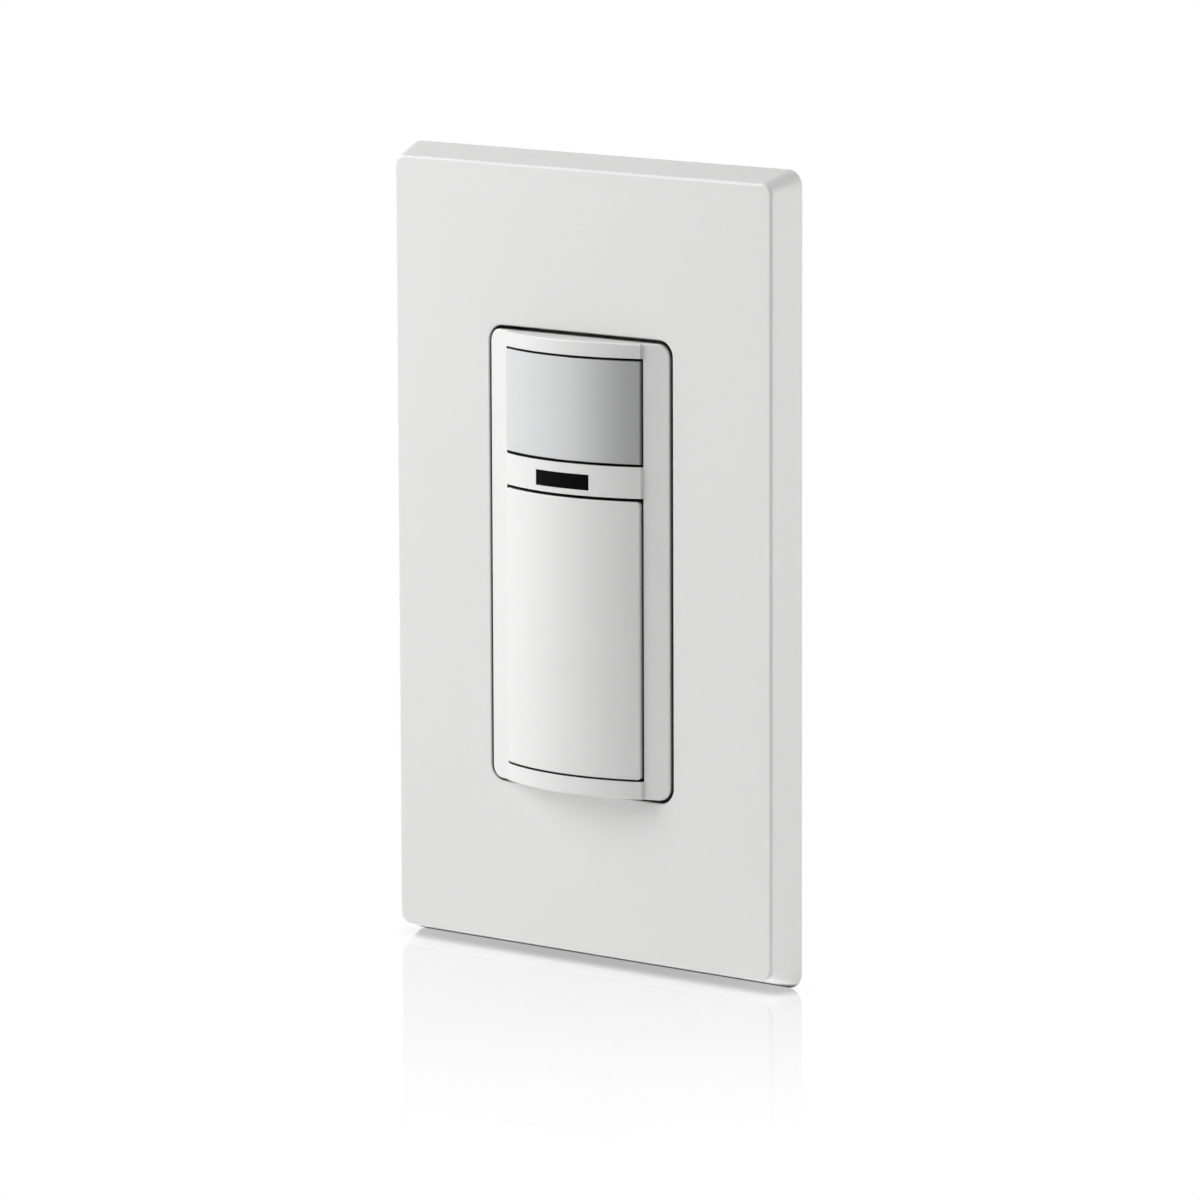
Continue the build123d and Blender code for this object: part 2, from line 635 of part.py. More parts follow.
def make_front_bezel():
    """The white front frame: sloping rails, three bulging bands, deck, bosses and board posts."""
    edge_x = FACE_WIDTH / 2
    panel_x = PANEL_WIDTH / 2
    outer_y = FACE_Y - RAIL_OUTER_RISE
    inner_y = FACE_Y - RAIL_INNER_RISE
    profile = Polyline(
        (-edge_x, STRAP_FRONT_Y), (-edge_x, outer_y), (-panel_x, inner_y),
        (panel_x, inner_y), (edge_x, outer_y), (edge_x, STRAP_FRONT_Y), close=True,
    )
    bezel = extrude(Plane.XY.offset(-FACE_TOP_Z) * make_face(profile), FACE_HEIGHT)
    bezel += bulge(panel_x, -FACE_TOP_Z, FACE_TOP_Z, inner_y + BEZEL_WALL)
    bezel &= slab(
        FACE_WIDTH, FACE_HEIGHT, FACE_CORNER_R,
        BULGE_AXIS_Y - BULGE_R - CUT_OVERRUN, STRAP_FRONT_Y,
    )
    outline = [
        e for e in bezel.edges()
        if e.bounding_box().max.Y < outer_y + EDGE_SEARCH
        and (
            abs(e.center().Z) > FACE_TOP_Z - FACE_CORNER_R
            or abs(e.center().X) > edge_x - EDGE_SEARCH
        )
    ]
    bezel = fillet(outline, FACE_EDGE_R)
    band_feet = [
        e for e in edges_on_plane(bezel, inner_y)
        if abs(abs(e.center().X) - panel_x) < EDGE_SEARCH and abs(e.center().Z) < FACE_CORNER_R
    ]
    bezel = fillet(band_feet, BAND_FOOT_R)
    # the windows of lens and button take the whole width between the rails
    cut_y = BULGE_AXIS_Y - BULGE_R - CUT_OVERRUN
    back_y = STRAP_FRONT_Y + CUT_OVERRUN
    bezel -= block(-WINDOW_HALF, WINDOW_HALF, cut_y, back_y, BAND_TOP_Z, LENS_TOP_Z + PARTING_GAP)
    bezel -= block(
        -WINDOW_HALF, WINDOW_HALF, cut_y, DECK_FRONT_Y,
        BUTTON_BOTTOM_Z - BUTTON_FOOT_GAP, BAND_BOTTOM_Z,
    )
    # the middle band is hollow behind, and holds the indicator window
    hollow_x = panel_x - BAND_SOLID_WIDTH
    bezel -= bulge(
        hollow_x, BAND_BOTTOM_Z + BEZEL_WEB, BAND_TOP_Z - BEZEL_WEB, back_y, BEZEL_CROWN_WALL
    )
    bezel -= bar(
        0, PIPE_Z, PIPE_WIDTH + 2 * PIPE_FIT, PIPE_HEIGHT + 2 * PIPE_FIT, cut_y, back_y
    )
    # core-outs behind the rails
    core_inner = WINDOW_HALF + BEZEL_WALL
    core_outer = edge_x - BEZEL_WALL
    core_top = HOUSING_SCREW_Z - HOUSING_BOSS_R
    for side in (-1, 1):
        bezel -= block(
            min(side * core_inner, side * core_outer), max(side * core_inner, side * core_outer),
            FACE_Y + BEZEL_WALL, back_y, -core_top, core_top,
        )
        bezel -= rod_x(
            PIVOT_R + RUNNING_CLEARANCE, PIVOT_Y, PIVOT_Z,
            min(side * WINDOW_HALF, side * core_inner) - CUT_OVERRUN / 2,
            max(side * WINDOW_HALF, side * core_inner) + CUT_OVERRUN / 2,
        )
    # windows in the deck for the two dials and the switch plunger
    dial_half = DIAL_R + DIAL_WINDOW_MARGIN
    for side in (-1, 1):
        bezel -= rod_y(
            dial_half, side * TRIMMER_SPACING / 2, TRIMMER_Z, DECK_FRONT_Y - CUT_OVERRUN, back_y
        )
    bezel -= rod_y(
        PLUNGER_R + PLUNGER_WINDOW_MARGIN, 0, TACT_Z, DECK_FRONT_Y - CUT_OVERRUN, back_y
    )
    # guide pins inside the return springs
    for side in (-1, 1):
        bezel += rod_y(
            SPRING_PIN_R, side * SPRING_X, SPRING_Z, DECK_FRONT_Y - SPRING_PIN_HEIGHT, DECK_FRONT_Y
        )
    # posts that hold the control board back
    post_x = STRAP_OPENING_WIDTH / 2 - BOARD_POST_INSET
    post_z = STRAP_OPENING_HEIGHT / 2 - BOARD_POST_INSET
    for side in (-1, 1):
        bezel += rod_y(BOARD_POST_R, side * post_x, -post_z, DECK_FRONT_Y, CONTROL_BOARD_Y)
        bezel += rod_y(BOARD_POST_R, side * post_x, BAND_Z, DECK_FRONT_Y, CONTROL_BOARD_Y)
    for x, z in HOUSING_SCREW_PLACES:
        bezel -= rod_y(
            HOUSING_SCREW_R, x, z, STRAP_FRONT_Y - HOUSING_SCREW_ENGAGEMENT - HOUSING_SCREW_TIP_GAP,
            back_y,
        )
    return bezel


def round_crown(shape, radius):
    """A bulging insert with the edges of its curved front rounded."""
    crown = shape.faces().filter_by(GeomType.CYLINDER).sort_by(SortBy.AREA)[-1]
    return fillet(crown.edges(), radius)


def make_sensor_lens():
    """The curved lens with a skirt all round that rests on the baffle."""
    lens = bulge(INSERT_HALF, LENS_BOTTOM_Z, LENS_TOP_Z, LENS_SKIRT_Y, LENS_RECESS)
    lens = round_crown(lens, LENS_EDGE_R)
    lens -= bulge(
        INSERT_HALF - LENS_SKIRT, LENS_BOTTOM_Z + LENS_SKIRT, LENS_TOP_Z - LENS_SKIRT,
        LENS_SKIRT_Y + CUT_OVERRUN, LENS_RECESS + LENS_WALL,
    )
    return lens


def baffle_solid(margin):
    """The baffle's funnel, drawn in by margin: a straight rim and a taper to the sensor."""
    half_x = INSERT_HALF - margin
    half_z = LENS_HEIGHT / 2 - margin
    throat = PIR_FLANGE_R + BAFFLE_THROAT_GAP + BAFFLE_WALL - margin
    rim_y = LENS_SKIRT_Y + BAFFLE_RIM
    rim = block(-half_x, half_x, LENS_SKIRT_Y, rim_y, LENS_Z - half_z, LENS_Z + half_z)
    taper = loft(
        [
            wall_plane(rim_y, 0, LENS_Z) * Rectangle(2 * half_x, 2 * half_z),
            wall_plane(BAFFLE_TAPER_END_Y, 0, LENS_Z) * Rectangle(2 * throat, 2 * throat),
        ],
        ruled=True,
    )
    foot = bar(0, LENS_Z, 2 * throat, 2 * throat, BAFFLE_TAPER_END_Y, CONTROL_BOARD_Y)
    return rim + taper + foot


def make_lens_baffle():
    """The funnel that keeps stray light and draughts from the sensor."""
    outer = baffle_solid(BAFFLE_MARGIN)
    inner = baffle_solid(BAFFLE_MARGIN + BAFFLE_WALL)
    return outer - inner


def make_indicator_window():
    """The smoked window, drawn back as a light pipe with a wider foot behind the band."""
    z_lo = PIPE_Z - PIPE_HEIGHT / 2
    z_hi = PIPE_Z + PIPE_HEIGHT / 2
    front_y = BULGE_AXIS_Y - BULGE_R
    pipe = bulge(PIPE_WIDTH / 2, z_lo, z_hi, front_y + PIPE_LENGTH, PIPE_RECESS)
    foot_y = front_y + BEZEL_CROWN_WALL + PIPE_FOOT_THICKNESS
    return pipe + bulge(PIPE_WIDTH / 2 + PIPE_FOOT, z_lo, z_hi, foot_y, BEZEL_CROWN_WALL)


def make_push_button():
    """The curved button with skirts, pivot pins, spring seats and the rib that works the switch."""
    button = bulge(INSERT_HALF, BUTTON_BOTTOM_Z, BUTTON_TOP_Z, BUTTON_SKIRT_Y)
    button = fillet(button.edges().filter_by(Axis.Y), BUTTON_CORNER_R)
    button = round_crown(button, BUTTON_EDGE_R)
    button -= bulge(
        INSERT_HALF - BUTTON_SKIRT, BUTTON_BOTTOM_Z + BUTTON_SKIRT, BUTTON_TOP_Z - BUTTON_SKIRT,
        BUTTON_SKIRT_Y + CUT_OVERRUN, BUTTON_WALL,
    )
    for side in (-1, 1):
        root_x = side * (INSERT_HALF - BUTTON_SKIRT / 2)
        tip_x = side * (INSERT_HALF + WINDOW_SIDE_GAP + PIVOT_REACH)
        button += rod_x(PIVOT_R, PIVOT_Y, PIVOT_Z, min(root_x, tip_x), max(root_x, tip_x))
        seat_y = DECK_FRONT_Y - SPRING_LENGTH
        root_y = bulge_y(SPRING_X + SPRING_SEAT_R, BUTTON_WALL / 2)
        button += rod_y(SPRING_SEAT_R, side * SPRING_X, SPRING_Z, root_y, seat_y)
    plunger_top_y = CONTROL_BOARD_Y - TACT_HEIGHT - PLUNGER_STAND_OUT
    button += bar(
        0, TACT_Z, ACTUATOR_WIDTH, ACTUATOR_HEIGHT,
        bulge_y(0, BUTTON_WALL / 2), plunger_top_y - ACTUATOR_GAP,
    )
    return button


def make_button_springs():
    """Two coil springs between deck and button, each one unbroken tube."""
    springs = []
    wire = SPRING_WIRE_R
    pitch = (SPRING_LENGTH - 2 * wire) / SPRING_TURNS
    helix = Helix(pitch, pitch * SPRING_TURNS, SPRING_COIL_R - wire)
    points = [tuple(helix @ (i / SPRING_SAMPLES)) for i in range(SPRING_SAMPLES + 1)]
    half_turn = int(SPRING_SAMPLES / SPRING_TURNS / 2)
    gap = min(
        dist(a, b) for i, a in enumerate(points) for b in points[i + half_turn:]
    ) - 2 * wire
    print(f"spring turns {SPRING_TURNS}, least gap of a spring to itself {gap:.2f} mm")
    for side in (-1, 1):
        coil = sweep(
            Plane(helix @ 0, z_dir=helix % 0) * Circle(wire), path=helix, is_frenet=True
        )
        start = Location((side * SPRING_X, DECK_FRONT_Y - wire, SPRING_Z), (90, 0, 0))
        springs.append(start * coil)
    return springs


def make_tact_switch_body():
    """The small switch's square body with its metal cover and plunger hole."""
    front_y = CONTROL_BOARD_Y - TACT_HEIGHT
    body = bar(0, TACT_Z, TACT_SIZE, TACT_SIZE, front_y, CONTROL_BOARD_Y)
    body = chamfer(body.edges().filter_by(Axis.Y), TACT_SIZE / 12)
    socket = PLUNGER_SOCKET + PLUNGER_STAND_OUT
    body -= rod_y(
        PLUNGER_R + RUNNING_CLEARANCE, 0, TACT_Z, front_y - CUT_OVERRUN, front_y + socket
    )
    return body


def make_tact_switch_plunger():
    """The plunger that the button pushes."""
    front_y = CONTROL_BOARD_Y - TACT_HEIGHT
    plunger = rod_y(PLUNGER_R, 0, TACT_Z, front_y - PLUNGER_STAND_OUT, front_y + PLUNGER_SOCKET)
    return chamfer(edges_on_plane(plunger, front_y - PLUNGER_STAND_OUT), PLUNGER_R / 6)


def make_trimmer_body(x):
    """The square body of one adjuster, with a round seat for its dial."""
    front_y = CONTROL_BOARD_Y - TRIMMER_HEIGHT
    body = bar(x, TRIMMER_Z, TRIMMER_SIZE, TRIMMER_SIZE, front_y, CONTROL_BOARD_Y)
    body -= rod_y(
        DIAL_R + RUNNING_CLEARANCE, x, TRIMMER_Z, front_y - CUT_OVERRUN, front_y + DIAL_SOCKET
    )
    return body


def make_trimmer_dial(x):
    """One adjuster's dial: a round knob with a driver slot and a pointer mark."""
    seat_y = CONTROL_BOARD_Y - TRIMMER_HEIGHT + DIAL_SOCKET
    top_y = seat_y - DIAL_HEIGHT - DIAL_SOCKET
    dial = rod_y(DIAL_R, x, TRIMMER_Z, top_y, seat_y)
    dial = chamfer(edges_on_plane(dial, top_y), DIAL_R / 10)
    dial -= bar(
        x, TRIMMER_Z, DIAL_SLOT_WIDTH, 2 * DIAL_R - DIAL_SLOT_WIDTH,
        top_y - CUT_OVERRUN, top_y + DIAL_SLOT_DEPTH,
    )
    pointer_z = TRIMMER_Z + DIAL_R - DIAL_POINTER_LENGTH / 2
    dial -= bar(
        x, pointer_z, 2 * DIAL_SLOT_WIDTH, DIAL_POINTER_LENGTH,
        top_y - CUT_OVERRUN, top_y + DIAL_SLOT_DEPTH / 2,
    )
    return dial


def make_pir_header():
    """The heat sensor's base disc with its orientation tab."""
    back_y = CONTROL_BOARD_Y
    header = rod_y(PIR_FLANGE_R, 0, LENS_Z, back_y - PIR_FLANGE_THICKNESS, back_y)
    header += rod_y(
        PIR_CAN_R - PIR_CAN_WALL - RUNNING_CLEARANCE, 0, LENS_Z,
        back_y - PIR_HEADER_THICKNESS - PIR_FLANGE_THICKNESS, back_y,
    )
    tab = Pos(0, 0, LENS_Z) * Rot(0, -45, 0) * block(
        PIR_FLANGE_R - PIR_TAB / 2, PIR_FLANGE_R + PIR_TAB, back_y - PIR_FLANGE_THICKNESS, back_y,
        -PIR_TAB / 2, PIR_TAB / 2,
    )
    header += tab
    for side in (-1, 1):
        header += rod_y(
            PIR_ELEMENT_POST_R, side * (PIR_ELEMENT_WIDTH / 2 - PIR_ELEMENT_POST_R), LENS_Z,
            pir_element_y(), back_y - PIR_HEADER_THICKNESS,
        )
    return header


def pir_element_y():
    """The rear face of the heat sensing element."""
    front_y = CONTROL_BOARD_Y - PIR_HEIGHT
    return front_y + PIR_CAN_WALL + PIR_FILTER_THICKNESS + 2 * PIR_ELEMENT_THICKNESS


def make_pir_element():
    """The sensing element with its two pads, behind the filter."""
    back_y = pir_element_y()
    chip = bar(
        0, LENS_Z, PIR_ELEMENT_WIDTH, PIR_ELEMENT_HEIGHT, back_y - PIR_ELEMENT_THICKNESS, back_y
    )
    for side in (-1, 1):
        chip += bar(
            side * PIR_ELEMENT_WIDTH / 4, LENS_Z, PIR_ELEMENT_WIDTH / 4, PIR_ELEMENT_HEIGHT * 3 / 4,
            back_y - PIR_ELEMENT_THICKNESS * 5 / 4, back_y - PIR_ELEMENT_THICKNESS / 2,
        )
    return chip


def make_pir_can():
    """The heat sensor's metal can with its square window."""
    front_y = CONTROL_BOARD_Y - PIR_HEIGHT
    back_y = CONTROL_BOARD_Y - PIR_FLANGE_THICKNESS
    can = rod_y(PIR_CAN_R, 0, LENS_Z, front_y, back_y)
    can = fillet(edges_on_plane(can, front_y), PIR_CAN_EDGE_R)
    can -= rod_y(
        PIR_CAN_R - PIR_CAN_WALL, 0, LENS_Z, front_y + PIR_CAN_WALL, back_y + CUT_OVERRUN
    )
    can -= bar(
        0, LENS_Z, PIR_WINDOW_WIDTH, PIR_WINDOW_HEIGHT, front_y - CUT_OVERRUN, back_y
    )
    return can


def make_pir_filter():
    """The infrared filter glued behind the can's window."""
    front_y = CONTROL_BOARD_Y - PIR_HEIGHT + PIR_CAN_WALL
    return bar(
        0, LENS_Z, PIR_WINDOW_WIDTH + PIR_FILTER_MARGIN, PIR_WINDOW_HEIGHT + PIR_FILTER_MARGIN,
        front_y, front_y + PIR_FILTER_THICKNESS,
    )


def make_dome_part(x, z):
    """A 3 mm dome on the board, for the indicator light and the light sensor."""
    back_y = CONTROL_BOARD_Y
    base = rod_y(LED_FLANGE_R, x, z, back_y - LED_FLANGE_THICKNESS, back_y)
    body = rod_y(LED_R, x, z, back_y - LED_HEIGHT + LED_R, back_y)
    dome = Pos(x, back_y - LED_HEIGHT + LED_R, z) * Sphere(LED_R)
    return base + body + dome


def make_control_board():
    """The front circuit board, notched at its corners for the screw bosses."""
    width = 2 * (CAVITY_HALF - BOARD_CLEARANCE)
    height = 2 * (CAVITY_HALF_HEIGHT - BOARD_CLEARANCE)
    board = bar(0, 0, width, height, CONTROL_BOARD_Y, CONTROL_BOARD_BACK_Y)
    notch_x = HOUSING_SCREW_X - HOUSING_BOSS_R - BOARD_CLEARANCE
    notch_z = HOUSING_SCREW_Z - HOUSING_BOSS_R - BOARD_CLEARANCE
    for side in (-1, 1):
        for end in (-1, 1):
            board -= block(
                min(side * notch_x, side * width), max(side * notch_x, side * width),
                CONTROL_BOARD_Y - CUT_OVERRUN, CONTROL_BOARD_BACK_Y + CUT_OVERRUN,
                min(end * notch_z, end * height), max(end * notch_z, end * height),
            )
    return board


def make_chip(x, z, width, length, height, y_board, outward):
    """A chip with rows of pins on its left and right sides, standing on a board face."""
    body_lo = y_board + outward * CHIP_PIN_THICKNESS
    body_hi = y_board + outward * height
    chip = bar(x, z, width, length, min(body_lo, body_hi), max(body_lo, body_hi))
    count = int(length / CHIP_PIN_PITCH)
    foot = y_board + outward * CHIP_PIN_THICKNESS * 2
    for i in range(count):
        pin_z = z + (i - (count - 1) / 2) * CHIP_PIN_PITCH
        for side in (-1, 1):
            near = x + side * (width / 2 - CHIP_PIN_WIDTH)
            far = x + side * (width / 2 + CHIP_PIN_REACH)
            chip += block(
                min(near, far), max(near, far), min(y_board, foot), max(y_board, foot),
                pin_z - CHIP_PIN_WIDTH / 2, pin_z + CHIP_PIN_WIDTH / 2,
            )
    return chip


def make_control_board_chips():
    """Rows of small chip resistors and capacitors behind the control board."""
    chips = []
    y = CONTROL_BOARD_BACK_Y
    for column in (-1, 1):
        for i in range(SMALL_CHIP_COUNT):
            z = SMALL_CHIP_Z + (i - (SMALL_CHIP_COUNT - 1) / 2) * SMALL_CHIP_PITCH
            chips.append(bar(
                CONTROLLER_X + CONTROLLER_WIDTH * 2 + column * SMALL_CHIP_LENGTH, z,
                SMALL_CHIP_LENGTH, SMALL_CHIP_WIDTH, y, y + SMALL_CHIP_HEIGHT,
            ))
    return chips


def make_board_header():
    """A plastic strip with long pins that join the two boards."""
    strip_width = HEADER_PINS * HEADER_PITCH
    strip = bar(
        0, -HEADER_Z, strip_width, HEADER_STRIP,
        CONTROL_BOARD_BACK_Y, CONTROL_BOARD_BACK_Y + HEADER_STRIP,
    )
    for i in range(HEADER_PINS):
        x = (i - (HEADER_PINS - 1) / 2) * HEADER_PITCH
        strip += bar(x, -HEADER_Z, HEADER_PIN, HEADER_PIN, CONTROL_BOARD_BACK_Y, POWER_BOARD_Y)
    return strip


def make_power_board():
    """The rear circuit board."""
    return bar(
        0, 0, POWER_BOARD_WIDTH, POWER_BOARD_HEIGHT, POWER_BOARD_Y, POWER_BOARD_BACK_Y
    )


def relay_base_y():
    """The front face of the relay's base, on which its frame stands."""
    return POWER_BOARD_Y - RELAY_BASE_THICKNESS


def relay_core_y():
    """The pole face of the relay's core."""
    return relay_base_y() - RELAY_YOKE_THICKNESS - RELAY_COIL_LENGTH - RELAY_CORE_FACE


def make_relay_base():
    """The relay's moulded base on the power board."""
    return bar(
        0, RELAY_Z, RELAY_WIDTH - 2 * RELAY_WALL - 2 * RELAY_FIT,
        RELAY_HEIGHT - 2 * RELAY_WALL - 2 * RELAY_FIT, relay_base_y(), POWER_BOARD_Y,
    )


def make_relay_yoke():
    """The relay's L-shaped iron frame, under the coil and up its right side."""
    base_y = relay_base_y()
    yoke = block(
        -RELAY_CORE_FACE_R, RELAY_YOKE_X + RELAY_YOKE_THICKNESS, base_y - RELAY_YOKE_THICKNESS,
        base_y, RELAY_Z - RELAY_YOKE_WIDTH / 2, RELAY_Z + RELAY_YOKE_WIDTH / 2,
    )
    yoke += block(
        RELAY_YOKE_X, RELAY_YOKE_X + RELAY_YOKE_THICKNESS,
        relay_core_y() - ARMATURE_GAP + ARMATURE_PIVOT_GAP, base_y,
        RELAY_Z - RELAY_YOKE_WIDTH / 2, RELAY_Z + RELAY_YOKE_WIDTH / 2,
    )
    return yoke


def make_relay_core():
    """The relay's iron core with its wider pole face."""
    core = rod_y(RELAY_CORE_R, 0, RELAY_Z, relay_core_y(), relay_base_y() - RELAY_YOKE_THICKNESS)
    core += rod_y(
        RELAY_CORE_FACE_R, 0, RELAY_Z, relay_core_y(), relay_core_y() + RELAY_CORE_FACE
    )
    return core


def make_relay_coil():
    """The relay's wound bobbin round the core."""
    back_y = relay_base_y() - RELAY_YOKE_THICKNESS
    front_y = back_y - RELAY_COIL_LENGTH
    coil = rod_y(RELAY_COIL_R, 0, RELAY_Z, front_y, back_y)
    coil += rod_y(RELAY_FLANGE_R, 0, RELAY_Z, front_y, front_y + RELAY_FLANGE)
    coil += rod_y(RELAY_FLANGE_R, 0, RELAY_Z, back_y - RELAY_FLANGE, back_y)
    return coil - rod_y(RELAY_CORE_R, 0, RELAY_Z, front_y - CUT_OVERRUN, back_y + CUT_OVERRUN)


def make_relay_armature():
    """The flat iron armature that tips onto the pole face."""
    back_y = relay_core_y() - ARMATURE_GAP
    return block(
        -ARMATURE_REACH, RELAY_YOKE_X + RELAY_YOKE_THICKNESS, back_y - ARMATURE_THICKNESS, back_y,
        RELAY_Z - RELAY_YOKE_WIDTH / 2, RELAY_Z + RELAY_YOKE_WIDTH / 2,
    )


def make_relay_contact_blade():
    """The springy blade on the armature with its moving contact."""
    back_y = relay_core_y() - ARMATURE_GAP - ARMATURE_THICKNESS
    blade = block(
        -BLADE_REACH, 0, back_y - BLADE_THICKNESS, back_y,
        RELAY_Z - BLADE_WIDTH / 2, RELAY_Z + BLADE_WIDTH / 2,
    )
    blade += rod_y(
        CONTACT_R, CONTACT_R - BLADE_REACH + BLADE_THICKNESS, RELAY_Z, back_y,
        back_y + CONTACT_HEIGHT,
    )
    return blade


def make_relay_fixed_contact():
    """The fixed contact on its post, facing the blade."""
    blade_y = relay_core_y() - ARMATURE_GAP - ARMATURE_THICKNESS + CONTACT_HEIGHT
    top_y = blade_y + CONTACT_GAP
    x = CONTACT_R - BLADE_REACH + BLADE_THICKNESS
    post = block(
        x - CONTACT_R, x + BLADE_THICKNESS, top_y + CONTACT_HEIGHT, relay_base_y(),
        RELAY_Z - CONTACT_POST_WIDTH / 2, RELAY_Z + CONTACT_POST_WIDTH / 2,
    )
    return post + rod_y(CONTACT_R, x, RELAY_Z, top_y, top_y + CONTACT_HEIGHT)


def make_relay_cover():
    """The relay's plastic cover."""
    front_y = POWER_BOARD_Y - RELAY_DEPTH
    cover = bar(0, RELAY_Z, RELAY_WIDTH, RELAY_HEIGHT, front_y, POWER_BOARD_Y)
    cover = fillet(
        cover.edges().filter_by(Axis.Y) + edges_on_plane(cover, front_y), RELAY_WALL / 2
    )
    cover -= bar(
        0, RELAY_Z, RELAY_WIDTH - 2 * RELAY_WALL, RELAY_HEIGHT - 2 * RELAY_WALL,
        front_y + RELAY_WALL, POWER_BOARD_Y + CUT_OVERRUN,
    )
    return cover


def make_film_capacitor():
    """The boxed film capacitor."""
    box = bar(
        FILM_CAP_X, FILM_CAP_Z, FILM_CAP_WIDTH, FILM_CAP_HEIGHT,
        POWER_BOARD_Y - FILM_CAP_DEPTH, POWER_BOARD_Y,
    )
    return fillet(edges_on_plane(box, POWER_BOARD_Y - FILM_CAP_DEPTH), FILM_CAP_WIDTH / 12)


def make_electrolytic_capacitor():
    """The round can capacitor with its crimped groove."""
    front_y = POWER_BOARD_Y - CAN_CAP_DEPTH
    can = rod_y(CAN_CAP_R, CAN_CAP_X, CAN_CAP_Z, front_y, POWER_BOARD_Y)
    groove_y = POWER_BOARD_Y - CAN_CAP_DEPTH / 6
    ring = rod_y(CAN_CAP_R + CUT_OVERRUN, CAN_CAP_X, CAN_CAP_Z, groove_y, groove_y + CAN_CAP_GROOVE)
    ring -= rod_y(
        CAN_CAP_R - CAN_CAP_GROOVE, CAN_CAP_X, CAN_CAP_Z, groove_y, groove_y + CAN_CAP_GROOVE
    )
    can -= ring
    return fillet(edges_on_plane(can, front_y), CAN_CAP_GROOVE)


def make_varistor():
    """The disc varistor standing on two leads."""
    stand_y = POWER_BOARD_Y - VARISTOR_R - FUSE_STAND
    disc = Pos(VARISTOR_X, stand_y, VARISTOR_Z) * Cylinder(VARISTOR_R, VARISTOR_THICKNESS)
    disc = fillet(disc.edges(), VARISTOR_THICKNESS / 4)
    for side in (-1, 1):
        disc += rod_y(
            LEAD_R, VARISTOR_X + side * VARISTOR_R / 2, VARISTOR_Z, stand_y, POWER_BOARD_Y
        )
    return disc


def make_fuse():
    """The small tubular fuse lying on two bent leads."""
    y = POWER_BOARD_Y - FUSE_STAND - FUSE_R
    half = FUSE_LENGTH / 2
    fuse = rod_x(FUSE_R, y, FUSE_Z, FUSE_X - half, FUSE_X + half)
    for side in (-1, 1):
        end_x = FUSE_X + side * (half + 2 * LEAD_R)
        root_x = FUSE_X + side * (half - LEAD_R)
        fuse += rod_x(LEAD_R, y, FUSE_Z, min(end_x, root_x), max(end_x, root_x))
        fuse += rod_y(LEAD_R, end_x, FUSE_Z, y, POWER_BOARD_Y)
        fuse += Pos(end_x, y, FUSE_Z) * Sphere(LEAD_R)
    return fuse


def make_inductor():
    """The drum choke with its winding between two flanges."""
    front_y = POWER_BOARD_Y - INDUCTOR_DEPTH
    drum = rod_y(INDUCTOR_R, INDUCTOR_X, INDUCTOR_Z, front_y, front_y + INDUCTOR_FLANGE)
    drum += rod_y(
        INDUCTOR_R, INDUCTOR_X, INDUCTOR_Z, POWER_BOARD_Y - INDUCTOR_FLANGE, POWER_BOARD_Y
    )
    winding_r = (INDUCTOR_R + INDUCTOR_CORE_R) / 2
    drum += rod_y(winding_r, INDUCTOR_X, INDUCTOR_Z, front_y, POWER_BOARD_Y)
    return drum


def pocket_block(side, z, margin, y_lo, y_hi):
    """A terminal pocket's space, grown by margin up, down and inwards."""
    inner = POCKET_FLOOR_X - margin
    outer = HOUSING_WIDTH / 2 + CUT_OVERRUN
    return block(
        min(side * inner, side * outer), max(side * inner, side * outer), y_lo, y_hi,
        z - POCKET_HEIGHT / 2 - margin, z + POCKET_HEIGHT / 2 + margin,
    )


